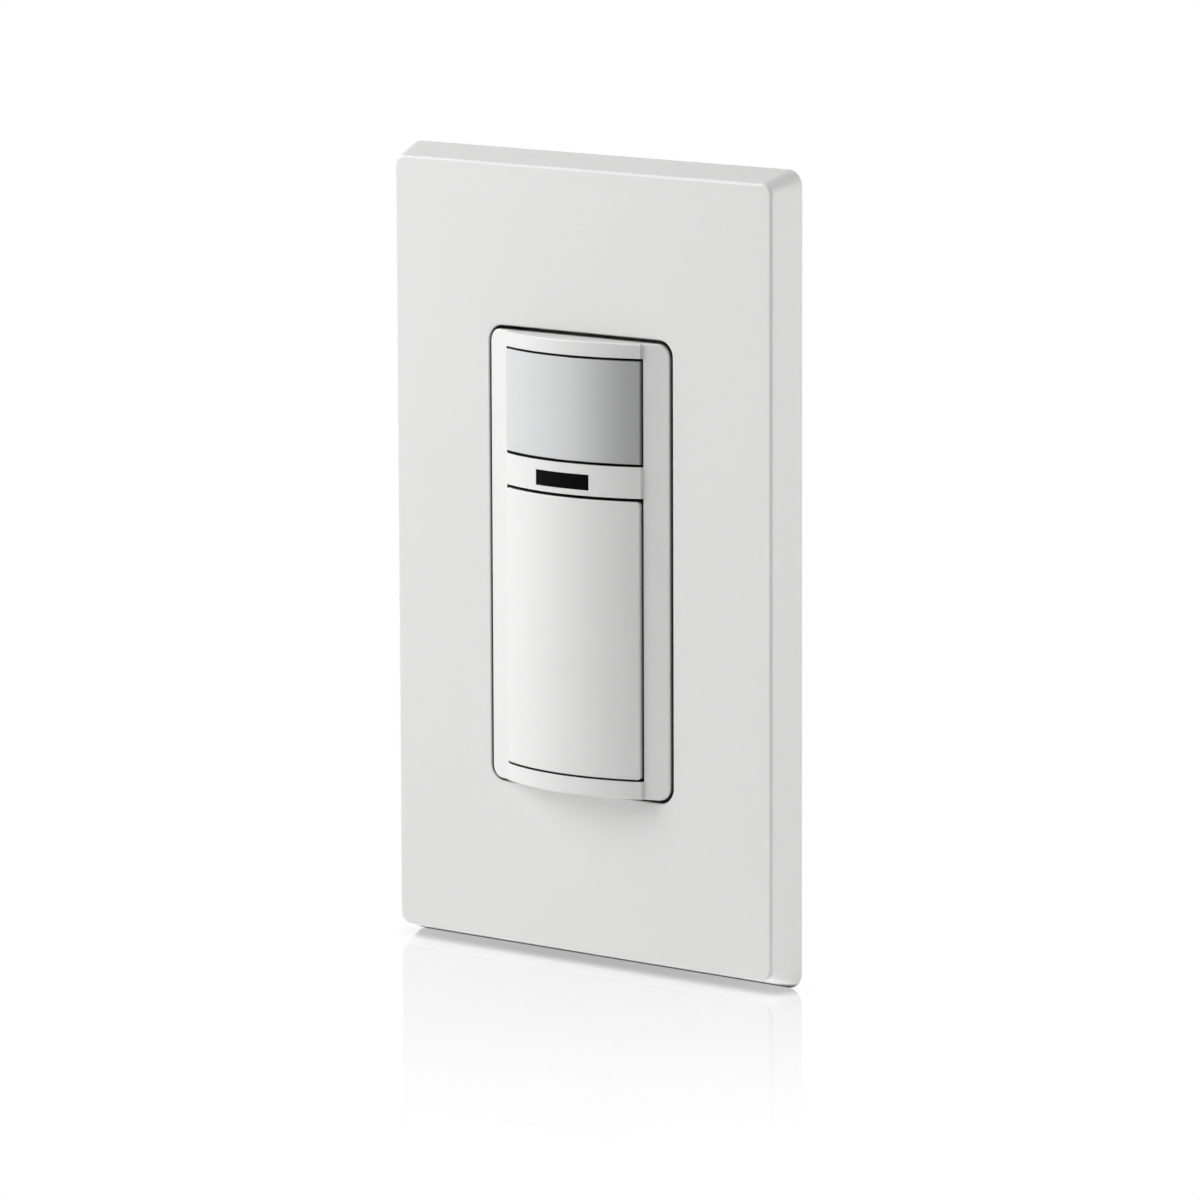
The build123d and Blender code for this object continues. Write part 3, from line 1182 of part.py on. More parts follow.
def make_rear_housing():
    """The dark rear housing with pockets, screw bosses, board ribs and board posts."""
    housing = slab(HOUSING_WIDTH, HOUSING_HEIGHT, HOUSING_CORNER_R, 0, HOUSING_DEPTH)
    housing = fillet(edges_on_plane(housing, HOUSING_DEPTH), HOUSING_EDGE_R)
    outer = housing
    housing = housing - bar(
        0, 0, 2 * CAVITY_HALF, 2 * CAVITY_HALF_HEIGHT, -CUT_OVERRUN, CAVITY_BACK_Y
    )
    for side, z in POCKETS:
        shell = pocket_block(side, z, POCKET_WALL, POCKET_FRONT_Y - POCKET_WALL, HOUSING_DEPTH)
        floor_inner = POCKET_FLOOR_X - POCKET_FLOOR
        floor = block(
            min(side * floor_inner, side * POCKET_FLOOR_X),
            max(side * floor_inner, side * POCKET_FLOOR_X),
            POCKET_FRONT_Y - POCKET_WALL, HOUSING_DEPTH,
            z - POCKET_HEIGHT / 2 - POCKET_WALL, z + POCKET_HEIGHT / 2 + POCKET_WALL,
        )
        housing += (shell + floor) & outer
    for x, z in HOUSING_SCREW_PLACES:
        housing += rod_y(HOUSING_BOSS_R, x, z, SHEET_THICKNESS, CAVITY_BACK_Y)
    rib_x = CAVITY_HALF - BOARD_RIB_DEPTH
    for side in (-1, 1):
        for rib_z in (-BOARD_RIB_Z, 0, BOARD_RIB_Z):
            housing += block(
                min(side * rib_x, side * CAVITY_HALF), max(side * rib_x, side * CAVITY_HALF),
                CONTROL_BOARD_BACK_Y, CAVITY_BACK_Y,
                rib_z - BOARD_RIB_WIDTH / 2, rib_z + BOARD_RIB_WIDTH / 2,
            )
        for end in (-1, 1):
            housing += rod_y(
                POWER_POST_R, side * POWER_POST_X, end * POWER_POST_Z,
                POWER_BOARD_BACK_Y, CAVITY_BACK_Y,
            )
    for side, z in POCKETS:
        housing -= pocket_block(side, z, 0, POCKET_FRONT_Y, CAVITY_BACK_Y)
        wire_x = side * (POCKET_FLOOR_X + TERMINAL_PLATE_THICKNESS + WIRE_GAP / 2)
        housing -= bar(
            wire_x, z, WIRE_SLOT_WIDTH, WIRE_SLOT_HEIGHT,
            CAVITY_BACK_Y - CUT_OVERRUN, HOUSING_DEPTH + CUT_OVERRUN,
        )
        tail_y = POWER_BOARD_Y - TERMINAL_TAIL_THICKNESS
        housing -= bar(
            side * POCKET_FLOOR_X, z, 2 * POCKET_FLOOR + 2 * CUT_OVERRUN,
            TERMINAL_TAIL_WIDTH + 2 * TAIL_CLEARANCE,
            tail_y - TAIL_CLEARANCE, POWER_BOARD_Y + TAIL_CLEARANCE,
        )
        blind_x = POCKET_FLOOR_X - TERMINAL_SCREW_BLIND
        housing -= rod_x(
            TERMINAL_SCREW_R + 2 * TERMINAL_FIT, TERMINAL_SCREW_Y, z,
            min(side * blind_x, side * (POCKET_FLOOR_X + CUT_OVERRUN)),
            max(side * blind_x, side * (POCKET_FLOOR_X + CUT_OVERRUN)),
        )
    for x, z in HOUSING_SCREW_PLACES:
        housing -= rod_y(
            HOUSING_SCREW_R + HOUSING_SCREW_CLEARANCE, x, z, -CUT_OVERRUN,
            HOUSING_DEPTH + CUT_OVERRUN,
        )
        housing -= rod_y(
            HOUSING_HEAD_R + HOUSING_SCREW_CLEARANCE, x, z,
            HOUSING_DEPTH - HOUSING_HEAD_RECESS, HOUSING_DEPTH + CUT_OVERRUN,
        )
    return housing


def make_housing_screws():
    """Four long screws from the housing's back into the bezel."""
    screws = []
    seat_y = HOUSING_DEPTH - HOUSING_HEAD_RECESS
    for x, z in HOUSING_SCREW_PLACES:
        head = rod_y(HOUSING_HEAD_R, x, z, seat_y, seat_y + HOUSING_HEAD_HEIGHT)
        head -= bar(
            x, z, 2 * HOUSING_HEAD_R, HEAD_SLOT_WIDTH * 2 / 3,
            seat_y + HOUSING_HEAD_HEIGHT / 2, HOUSING_DEPTH,
        )
        shank = rod_y(
            HOUSING_SCREW_R, x, z, STRAP_FRONT_Y - HOUSING_SCREW_ENGAGEMENT, seat_y
        )
        screws.append(head + shank)
    return screws


def make_insulating_sheet():
    """The thin sheet that keeps the strap away from live parts."""
    width = 2 * (CAVITY_HALF - SHEET_MARGIN)
    height = 2 * (CAVITY_HALF_HEIGHT - SHEET_MARGIN)
    sheet = bar(0, 0, width, height, 0, SHEET_THICKNESS)
    sheet -= bar(
        0, 0, STRAP_OPENING_WIDTH, STRAP_OPENING_HEIGHT, -CUT_OVERRUN, CUT_OVERRUN
    )
    for x, z in HOUSING_SCREW_PLACES:
        sheet -= rod_y(
            HOUSING_SCREW_R + HOUSING_SCREW_CLEARANCE, x, z, -CUT_OVERRUN, CUT_OVERRUN
        )
    return sheet


def make_terminal_plate(side, z):
    """A pocket's contact plate with its tail through the floor to the power board."""
    back_y = CAVITY_BACK_Y - TERMINAL_PLATE_MARGIN
    front_y = POCKET_FRONT_Y + TERMINAL_PLATE_MARGIN
    half = POCKET_HEIGHT / 2 - TERMINAL_PLATE_MARGIN
    outer = POCKET_FLOOR_X + TERMINAL_PLATE_THICKNESS
    plate = block(
        min(side * POCKET_FLOOR_X, side * outer), max(side * POCKET_FLOOR_X, side * outer),
        front_y, back_y, z - half, z + half,
    )
    plate -= rod_x(
        TERMINAL_SCREW_R + TERMINAL_FIT, TERMINAL_SCREW_Y, z,
        min(0, side * HOUSING_WIDTH), max(0, side * HOUSING_WIDTH),
    )
    tail_end = POWER_BOARD_WIDTH / 2 - TERMINAL_TAIL_WIDTH / 2
    plate += block(
        min(side * tail_end, side * outer), max(side * tail_end, side * outer),
        POWER_BOARD_Y - TERMINAL_TAIL_THICKNESS, POWER_BOARD_Y,
        z - TERMINAL_TAIL_WIDTH / 2, z + TERMINAL_TAIL_WIDTH / 2,
    )
    return plate


def make_terminal_clamps():
    """The square clamps under the three terminal screws."""
    clamps = []
    inner = POCKET_FLOOR_X + TERMINAL_PLATE_THICKNESS + WIRE_GAP
    for side, z in POCKETS:
        clamp = block(
            min(side * inner, side * (inner + CLAMP_THICKNESS)),
            max(side * inner, side * (inner + CLAMP_THICKNESS)),
            TERMINAL_SCREW_Y - CLAMP_SIZE / 2, TERMINAL_SCREW_Y + CLAMP_SIZE / 2,
            z - CLAMP_SIZE / 2, z + CLAMP_SIZE / 2,
        )
        clamp -= rod_x(
            TERMINAL_SCREW_R + TERMINAL_FIT, TERMINAL_SCREW_Y, z,
            min(0, side * HOUSING_WIDTH), max(0, side * HOUSING_WIDTH),
        )
        clamps.append(clamp)
    return clamps


def side_screw(side, y, z, seat_x, tip_x):
    """A binding-head screw that lies along X, head outwards from seat_x, tip at tip_x."""
    top_x = seat_x + TERMINAL_HEAD_HEIGHT
    head = rod_x(
        TERMINAL_HEAD_R, y, z, min(side * seat_x, side * top_x), max(side * seat_x, side * top_x)
    )
    slot_x = top_x - HEAD_SLOT_DEPTH
    head -= block(
        min(side * slot_x, side * (top_x + CUT_OVERRUN)),
        max(side * slot_x, side * (top_x + CUT_OVERRUN)),
        y - TERMINAL_HEAD_R, y + TERMINAL_HEAD_R,
        z - HEAD_SLOT_WIDTH / 2, z + HEAD_SLOT_WIDTH / 2,
    )
    return head + rod_x(
        TERMINAL_SCREW_R, y, z, min(side * tip_x, side * seat_x), max(side * tip_x, side * seat_x)
    )


def make_terminal_screw(side, z):
    """A terminal screw, from its blind hole in the floor out to its head on the clamp."""
    seat_x = POCKET_FLOOR_X + TERMINAL_PLATE_THICKNESS + WIRE_GAP + CLAMP_THICKNESS
    tip_x = POCKET_FLOOR_X - TERMINAL_SCREW_BLIND + 2 * TERMINAL_FIT
    return side_screw(side, TERMINAL_SCREW_Y, z, seat_x, tip_x)


def make_ground_screw():
    """The green screw in the strap's bent tab."""
    tab_x = STRAP_WIDTH / 2 + GROUND_TAB_REACH
    top_x = tab_x + WIRE_GAP / 2 + TERMINAL_HEAD_HEIGHT
    head = rod_x(
        TERMINAL_HEAD_R, GROUND_SCREW_Y, GROUND_TAB_Z, -top_x, TERMINAL_HEAD_HEIGHT - top_x
    )
    head -= block(
        -top_x - CUT_OVERRUN, HEAD_SLOT_DEPTH - top_x,
        GROUND_SCREW_Y - TERMINAL_HEAD_R, GROUND_SCREW_Y + TERMINAL_HEAD_R,
        GROUND_TAB_Z - HEAD_SLOT_WIDTH / 2, GROUND_TAB_Z + HEAD_SLOT_WIDTH / 2,
    )
    shank = rod_x(
        TAPPED_HOLE_R, GROUND_SCREW_Y, GROUND_TAB_Z,
        TERMINAL_HEAD_HEIGHT - top_x, STRAP_THICKNESS + GROUND_SCREW_INNER - tab_x,
    )
    return head + shank


def make_all():
    """Every piece of the switch by name."""
    trimmer_x = TRIMMER_SPACING / 2
    led_x = LED_SPACING / 2
    return {
        "wallplate_cover": make_wallplate_cover(),
        "wallplate_subplate": make_wallplate_subplate(),
        "subplate_screws": make_subplate_screws(),
        "mounting_strap": make_mounting_strap(),
        "box_screws": make_box_screws(),
        "screw_retainers": make_screw_retainers(),
        "front_bezel": make_front_bezel(),
        "sensor_lens": make_sensor_lens(),
        "indicator_window": make_indicator_window(),
        "push_button": make_push_button(),
        "button_springs": make_button_springs(),
        "lens_baffle": make_lens_baffle(),
        "tact_switch_body": make_tact_switch_body(),
        "tact_switch_plunger": make_tact_switch_plunger(),
        "time_delay_trimmer": make_trimmer_body(-trimmer_x),
        "time_delay_dial": make_trimmer_dial(-trimmer_x),
        "light_level_trimmer": make_trimmer_body(trimmer_x),
        "light_level_dial": make_trimmer_dial(trimmer_x),
        "pir_header": make_pir_header(),
        "pir_element": make_pir_element(),
        "pir_filter": make_pir_filter(),
        "pir_can": make_pir_can(),
        "status_led": make_dome_part(-led_x, PIPE_Z),
        "photocell": make_dome_part(led_x, PIPE_Z),
        "control_board": make_control_board(),
        "microcontroller": make_chip(
            CONTROLLER_X, 0, CONTROLLER_WIDTH, CONTROLLER_LENGTH, CONTROLLER_HEIGHT,
            CONTROL_BOARD_BACK_Y, 1,
        ),
        "amplifier_chip": make_chip(
            0, LENS_Z, AMPLIFIER_WIDTH, AMPLIFIER_LENGTH, AMPLIFIER_HEIGHT,
            CONTROL_BOARD_BACK_Y, 1,
        ),
        "control_board_chips": make_control_board_chips(),
        "board_header": make_board_header(),
        "power_board": make_power_board(),
        "relay_base": make_relay_base(),
        "relay_yoke": make_relay_yoke(),
        "relay_core": make_relay_core(),
        "relay_coil": make_relay_coil(),
        "relay_armature": make_relay_armature(),
        "relay_contact_blade": make_relay_contact_blade(),
        "relay_fixed_contact": make_relay_fixed_contact(),
        "relay_cover": make_relay_cover(),
        "film_capacitor": make_film_capacitor(),
        "electrolytic_capacitor": make_electrolytic_capacitor(),
        "varistor": make_varistor(),
        "fuse": make_fuse(),
        "inductor": make_inductor(),
        "rear_housing": make_rear_housing(),
        "housing_screws": make_housing_screws(),
        "insulating_sheet": make_insulating_sheet(),
        "line_terminal_plate": make_terminal_plate(1, POCKET_Z),
        "load_terminal_plate": make_terminal_plate(1, -POCKET_Z),
        "neutral_terminal_plate": make_terminal_plate(-1, -POCKET_Z),
        "terminal_clamps": make_terminal_clamps(),
        "line_and_load_screws": [
            make_terminal_screw(1, POCKET_Z), make_terminal_screw(1, -POCKET_Z)
        ],
        "neutral_screw": make_terminal_screw(-1, -POCKET_Z),
        "ground_screw": make_ground_screw(),
    }


def main():
    """Write one file per piece; a list of solids becomes one file that holds them all."""
    os.makedirs("parts", exist_ok=True)
    for name, shape in make_all().items():
        if isinstance(shape, list):
            shape = Compound(children=[s.solid() for s in shape])
        export_step(shape, f"parts/{name}.step")


main()
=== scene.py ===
"""The look of the motion sensor wall switch: finishes, threads, springs, light and camera.

Metres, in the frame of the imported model: X right, Y into the wall, Z up.
"""

import math

import bmesh
import bpy
from mathutils import Matrix, Vector


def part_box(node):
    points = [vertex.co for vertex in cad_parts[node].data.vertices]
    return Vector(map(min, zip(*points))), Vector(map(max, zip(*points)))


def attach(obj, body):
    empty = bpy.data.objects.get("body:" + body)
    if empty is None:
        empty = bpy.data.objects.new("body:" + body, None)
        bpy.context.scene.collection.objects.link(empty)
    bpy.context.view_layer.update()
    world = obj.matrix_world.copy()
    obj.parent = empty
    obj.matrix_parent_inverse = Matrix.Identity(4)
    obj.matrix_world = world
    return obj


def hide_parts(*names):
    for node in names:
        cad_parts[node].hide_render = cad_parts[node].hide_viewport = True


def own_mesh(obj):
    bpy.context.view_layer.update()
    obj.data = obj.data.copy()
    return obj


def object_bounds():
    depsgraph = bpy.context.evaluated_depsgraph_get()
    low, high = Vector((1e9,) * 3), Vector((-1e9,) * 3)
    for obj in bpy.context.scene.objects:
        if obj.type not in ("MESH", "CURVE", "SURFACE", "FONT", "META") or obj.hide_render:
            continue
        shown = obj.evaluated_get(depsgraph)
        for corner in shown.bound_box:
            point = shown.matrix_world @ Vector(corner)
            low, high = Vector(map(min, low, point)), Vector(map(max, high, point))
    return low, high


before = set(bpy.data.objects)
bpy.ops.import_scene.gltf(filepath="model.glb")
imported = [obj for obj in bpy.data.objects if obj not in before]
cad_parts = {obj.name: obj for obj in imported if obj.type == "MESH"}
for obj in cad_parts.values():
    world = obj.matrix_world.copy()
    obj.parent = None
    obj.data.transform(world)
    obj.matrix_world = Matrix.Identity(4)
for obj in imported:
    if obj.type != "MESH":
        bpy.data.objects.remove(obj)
MODEL_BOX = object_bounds()

# Camera, as fitted to the photograph: angles in degrees, lengths in metres
VIEW_AZIMUTH = 39.6
VIEW_ELEVATION = 9.058
VIEW_ROLL = -0.212
VIEW_DISTANCE = 1.10479
FRAME_PIXELS = 1200
FOCAL_PIXELS = 7601.91
ORIGIN_PIXEL = (602.677, 559.289)
SENSOR_WIDTH_MM = 36.0
CAMERA_REACH = 100

# Moulded plastic: painted shade darkens gaps narrower than the reach
PAINTED_SHADE_REACH = 0.0011
PAINTED_SHADE_CLOSED = 0.25
PAINTED_SHADE_OPEN = 0.85
PAINTED_SHADE_TONE = 0.04
PAINTED_SHADE_SAMPLES = 8
CLOUD_SCALE = 38.0
CLOUD_DETAIL = 3.0
GRAIN_DETAIL = 4.0

# Metal: this share of Z goes into the noise, which draws it out into streaks along Z
STREAK_SQUEEZE = 0.06
STREAK_DETAIL = 3.0
MOTTLE_SCALE = 420.0
MOTTLE_DETAIL = 4.0

# Circuit board: the tracks' spacing and edges, as shares of a cell
CELL_SCATTER = 0.7
TRACK_SPACING = 0.14
TRACK_EDGE_FROM = 0.055
TRACK_EDGE_TO = 0.075

# Clear coat
COAT_ROUGHNESS = 0.12

# What goes into and comes out of every shared effect
EFFECT_INPUTS = ["Colour", "Colour Spread", "Roughness", "Roughness Spread", "Grain Scale"]
EFFECT_OUTPUTS = ["Colour", "Roughness", "Height"]

# Painted shade on the lens: its tone falls along X from the lit left side to the shaded right side
LENS_SHADE_FROM_X = -0.0008
LENS_SHADE_TO_X = 0.0150
LENS_LIT_TONE = 0.97
LENS_SHADED_TONE = 0.625

# Studio
FLOOR_SIZE = 30.0
WORLD_STRENGTH = 0.256
OPEN_SIDE = (38.0, 12.0)
OPEN_SIDE_EDGE = 0.3
OPEN_SIDE_SHARE = 0.2
SOFTBOX_DISTANCE = 0.75
KEY_LIGHT = dict(azimuth=-50, elevation=35, width=0.45, height=0.60, watts=3.1)
LEFT_LIGHT = dict(azimuth=-64, elevation=22, width=0.45, height=0.60, watts=1.6)
SIDE_LIGHT = dict(azimuth=118, elevation=12, width=0.45, height=0.60, watts=2.83)
UNDER_LIGHT = dict(azimuth=180, elevation=-78, width=0.30, height=0.30, watts=1.6)
FLOOR_TONE = 0.95
FLOOR_ROUGHNESS = 0.6
# Painted contact shadow: the floor's glow for the camera dims where ambient occlusion finds the
# switch close by
FLOOR_SHADE_SAMPLES = 24
FLOOR_SHADE_CLOSED = 0.30
FLOOR_SHADE_REACH = 0.003
FLOOR_SHADE_LEVEL = 0.86
FLOOR_MIRROR = 0.48
FLOOR_MIRROR_REACH = 0.126
FLOOR_MIRROR_ROUGHNESS = 0.03

# Threads of the two long box screws
THREAD_PITCH = 0.000794
THREAD_DEPTH = 0.00040
THREAD_R = 0.00175
THREAD_START_Y = -0.0002
THREAD_RUN_OUT = 0.0008
THREAD_TIP = 0.0012
TIP_DROP = 0.00055
THREAD_SIDES = 36
RINGS_PER_TURN = 10
CREST_SHARE = 0.18


def direction(azimuth, elevation):
    """The unit vector from the switch towards a place round it; azimuth 0 is in front."""
    a = math.radians(azimuth)
    e = math.radians(elevation)
    return Vector((math.sin(a) * math.cos(e), -math.cos(a) * math.cos(e), math.sin(e)))


def place_camera():
    """The photograph's camera."""
    back = direction(VIEW_AZIMUTH, VIEW_ELEVATION)
    a = math.radians(VIEW_AZIMUTH)
    right = Vector((math.cos(a), math.sin(a), 0))
    up = back.cross(right)
    roll = math.radians(VIEW_ROLL)
    right, up = (
        right * math.cos(roll) + up * math.sin(roll),
        up * math.cos(roll) - right * math.sin(roll),
    )
    middle = FRAME_PIXELS / 2
    across = -(ORIGIN_PIXEL[0] - middle) / FOCAL_PIXELS * VIEW_DISTANCE
    above = (ORIGIN_PIXEL[1] - middle) / FOCAL_PIXELS * VIEW_DISTANCE
    place = back * VIEW_DISTANCE + right * across + up * above
    camera_data = bpy.data.cameras.new("photo_camera")
    camera_data.sensor_width = SENSOR_WIDTH_MM
    camera_data.lens = FOCAL_PIXELS / FRAME_PIXELS * SENSOR_WIDTH_MM
    camera_data.clip_end = CAMERA_REACH
    camera = bpy.data.objects.new("photo_camera", camera_data)
    turn = Matrix((right, up, back)).transposed().to_4x4()
    camera.matrix_world = Matrix.Translation(place) @ turn
    bpy.context.scene.collection.objects.link(camera)
    bpy.context.scene.camera = camera


def softbox(name, azimuth, elevation, width, height, watts):
    """A rectangular lamp that faces the switch."""
    lamp = bpy.data.lights.new(name, "AREA")
    lamp.shape = "RECTANGLE"
    lamp.size = width
    lamp.size_y = height
    lamp.energy = watts
    holder = bpy.data.objects.new(name, lamp)
    away = direction(azimuth, elevation)
    holder.location = away * SOFTBOX_DISTANCE
    holder.rotation_euler = away.to_track_quat("Z", "Y").to_euler()
    bpy.context.scene.collection.objects.link(holder)


def light_studio():
    """A white room whose mirror image darkens towards its open side, and four softboxes."""
    world = bpy.data.worlds.new("white_studio")
    world.use_nodes = True
    bpy.context.scene.world = world
    tree = world.node_tree
    tree.nodes.clear()
    place = tree.nodes.new("ShaderNodeTexCoord")
    facing = tree.nodes.new("ShaderNodeVectorMath")
    facing.operation = "DOT_PRODUCT"
    facing.inputs[1].default_value = direction(*OPEN_SIDE)
    tree.links.new(place.outputs["Generated"], facing.inputs[0])
    room = tree.nodes.new("ShaderNodeMapRange")
    room.interpolation_type = "SMOOTHSTEP"
    room.inputs["From Min"].default_value = OPEN_SIDE_EDGE
    room.inputs["From Max"].default_value = 1.0
    room.inputs["To Min"].default_value = 1.0
    room.inputs["To Max"].default_value = OPEN_SIDE_SHARE
    tree.links.new(facing.outputs["Value"], room.inputs["Value"])
    path = tree.nodes.new("ShaderNodeLightPath")
    lit = tree.nodes.new("ShaderNodeMapRange")
    lit.inputs["To Min"].default_value = WORLD_STRENGTH
    tree.links.new(room.outputs["Result"], lit.inputs["To Max"])
    tree.links.new(path.outputs["Is Glossy Ray"], lit.inputs["Value"])
    seen = tree.nodes.new("ShaderNodeMath")
    seen.operation = "MAXIMUM"
    tree.links.new(path.outputs["Is Camera Ray"], seen.inputs[0])
    tree.links.new(path.outputs["Is Transmission Ray"], seen.inputs[1])
    strength = tree.nodes.new("ShaderNodeMix")
    tree.links.new(seen.outputs[0], strength.inputs["Factor"])
    tree.links.new(lit.outputs["Result"], strength.inputs["A"])
    strength.inputs["B"].default_value = 1.0
    background = tree.nodes.new("ShaderNodeBackground")
    background.inputs["Color"].default_value = (1, 1, 1, 1)
    tree.links.new(strength.outputs["Result"], background.inputs["Strength"])
    output = tree.nodes.new("ShaderNodeOutputWorld")
    tree.links.new(background.outputs[0], output.inputs["Surface"])
    softbox("key_softbox", **KEY_LIGHT)
    softbox("left_softbox", **LEFT_LIGHT)
    softbox("side_softbox", **SIDE_LIGHT)
    softbox("under_softbox", **UNDER_LIGHT)


def lay_floor():
    """A wide white floor under the switch's lower edge, which mirrors it faintly up close and
    carries a painted contact shadow.

    It lets the softbox beneath it through, as a lit table does.
    """
    z = MODEL_BOX[0][2]
    half = FLOOR_SIZE / 2
    mesh = bpy.data.meshes.new("studio_floor")
    corners = [(-half, -half, z), (half, -half, z), (half, half, z), (-half, half, z)]
    mesh.from_pydata(corners, [], [(0, 1, 2, 3)])
    floor = bpy.data.objects.new("studio_floor", mesh)
    bpy.context.scene.collection.objects.link(floor)
    material = bpy.data.materials.new("white_floor")
    material.use_nodes = True
    tree = material.node_tree
    surface = tree.nodes["Principled BSDF"]
    surface.inputs["Base Color"].default_value = (FLOOR_TONE, FLOOR_TONE, FLOOR_TONE, 1)
    surface.inputs["Roughness"].default_value = FLOOR_ROUGHNESS
    place = tree.nodes.new("ShaderNodeTexCoord")
    away = tree.nodes.new("ShaderNodeVectorMath")
    away.operation = "DISTANCE"
    away.inputs[1].default_value = (0.0, 0.0, z)
    tree.links.new(place.outputs["Object"], away.inputs[0])
    mirror_share = tree.nodes.new("ShaderNodeMapRange")
    mirror_share.interpolation_type = "SMOOTHSTEP"
    mirror_share.inputs["From Max"].default_value = FLOOR_MIRROR_REACH
    mirror_share.inputs["To Min"].default_value = FLOOR_MIRROR
    mirror_share.inputs["To Max"].default_value = 0.0
    tree.links.new(away.outputs["Value"], mirror_share.inputs["Value"])
    # painted contact shadow: ambient occlusion dims the camera-seen glow next to the switch
    shade = tree.nodes.new("ShaderNodeAmbientOcclusion")
    shade.samples = FLOOR_SHADE_SAMPLES
    shade.inputs["Distance"].default_value = FLOOR_SHADE_REACH
    painted_contact_shadow = tree.nodes.new("ShaderNodeMapRange")
    painted_contact_shadow.inputs["From Min"].default_value = FLOOR_SHADE_CLOSED
    painted_contact_shadow.inputs["From Max"].default_value = 1.0
    painted_contact_shadow.inputs["To Min"].default_value = FLOOR_SHADE_LEVEL
    tree.links.new(shade.outputs["AO"], painted_contact_shadow.inputs["Value"])
    glow = tree.nodes.new("ShaderNodeEmission")
    tree.links.new(painted_contact_shadow.outputs["Result"], glow.inputs["Strength"])
    mirror = tree.nodes.new("ShaderNodeBsdfAnisotropic")
    mirror.inputs["Color"].default_value = (1, 1, 1, 1)
    mirror.inputs["Roughness"].default_value = FLOOR_MIRROR_ROUGHNESS
    seen = tree.nodes.new("ShaderNodeMixShader")
    tree.links.new(mirror_share.outputs["Result"], seen.inputs[0])
    tree.links.new(glow.outputs[0], seen.inputs[1])
    tree.links.new(mirror.outputs[0], seen.inputs[2])
    path = tree.nodes.new("ShaderNodeLightPath")
    total = tree.nodes.new("ShaderNodeMixShader")
    tree.links.new(path.outputs["Is Camera Ray"], total.inputs[0])
    tree.links.new(surface.outputs[0], total.inputs[1])
    tree.links.new(seen.outputs[0], total.inputs[2])
    clear = tree.nodes.new("ShaderNodeBsdfTransparent")
    table = tree.nodes.new("ShaderNodeMixShader")
    tree.links.new(path.outputs["Is Shadow Ray"], table.inputs[0])
    tree.links.new(total.outputs[0], table.inputs[1])
    tree.links.new(clear.outputs[0], table.inputs[2])
    tree.links.new(table.outputs[0], tree.nodes["Material Output"].inputs["Surface"])
    mesh.materials.append(material)


def new_effect(name):
    """An empty shader node group with the sockets that every finish uses."""
    group = bpy.data.node_groups.new(name, "ShaderNodeTree")
    for side, labels in (("INPUT", EFFECT_INPUTS), ("OUTPUT", EFFECT_OUTPUTS)):
        for label in labels:
            kind = "NodeSocketColor" if label == "Colour" else "NodeSocketFloat"
            group.interface.new_socket(label, in_out=side, socket_type=kind)
    return group, group.nodes.new("NodeGroupInput"), group.nodes.new("NodeGroupOutput")


def noise(group, coordinate, scale, detail):
    """A noise texture on a coordinate; scale is a number or a socket."""
    texture = group.nodes.new("ShaderNodeTexNoise")
    texture.inputs["Detail"].default_value = detail
    group.links.new(coordinate, texture.inputs["Vector"])
    if isinstance(scale, (int, float)):
        texture.inputs["Scale"].default_value = scale
    else:
        group.links.new(scale, texture.inputs["Scale"])
    return texture.outputs["Fac"]


def spread_round(group, middle, spread, mask):
    """middle, a number or a socket, plus spread times the mask's distance from one half."""
    centred = group.nodes.new("ShaderNodeMath")
    centred.operation = "SUBTRACT"
    centred.inputs[1].default_value = 0.5
    group.links.new(mask, centred.inputs[0])
    result = group.nodes.new("ShaderNodeMath")
    result.operation = "MULTIPLY_ADD"
    group.links.new(centred.outputs[0], result.inputs[0])
    group.links.new(spread, result.inputs[1])
    if isinstance(middle, (int, float)):
        result.inputs[2].default_value = middle
    else:
        group.links.new(middle, result.inputs[2])
    return result.outputs[0]


def tinted(group, colour, amount):
    """A colour made lighter or darker by a factor."""
    scaled = group.nodes.new("ShaderNodeVectorMath")
    scaled.operation = "SCALE"
    group.links.new(colour, scaled.inputs[0])
    group.links.new(amount, scaled.inputs["Scale"])
    return scaled.outputs["Vector"]


def put_out(group, given, made, shade, gloss_mask, height):
    """Put out the tinted colour, the roughness spread round a mask, and the height."""
    gloss = spread_round(
        group, given.outputs["Roughness"], given.outputs["Roughness Spread"], gloss_mask
    )
    group.links.new(tinted(group, given.outputs["Colour"], shade), made.inputs["Colour"])
    group.links.new(gloss, made.inputs["Roughness"])
    group.links.new(height, made.inputs["Height"])


def make_moulded_skin():
    """Moulded plastic: faint clouds in colour and gloss, a fine grain, and painted shade in narrow
    gaps and crevices.
    """
    group, given, made = new_effect("moulded_skin")
    # painted shade: ambient occlusion darkens the colour in narrow gaps and crevices
    crevice = group.nodes.new("ShaderNodeAmbientOcclusion")
    crevice.samples = PAINTED_SHADE_SAMPLES
    crevice.inputs["Distance"].default_value = PAINTED_SHADE_REACH
    painted_crevice_shade = group.nodes.new("ShaderNodeMapRange")
    painted_crevice_shade.inputs["From Min"].default_value = PAINTED_SHADE_CLOSED
    painted_crevice_shade.inputs["From Max"].default_value = PAINTED_SHADE_OPEN
    painted_crevice_shade.inputs["To Min"].default_value = PAINTED_SHADE_TONE
    group.links.new(crevice.outputs["AO"], painted_crevice_shade.inputs["Value"])
    place = group.nodes.new("ShaderNodeTexCoord").outputs["Object"]
    cloud = noise(group, place, CLOUD_SCALE, CLOUD_DETAIL)
    grain = noise(group, place, given.outputs["Grain Scale"], GRAIN_DETAIL)
    shade = spread_round(group, painted_crevice_shade.outputs["Result"], given.outputs["Colour Spread"], cloud)
    put_out(group, given, made, shade, cloud, grain)
    return group


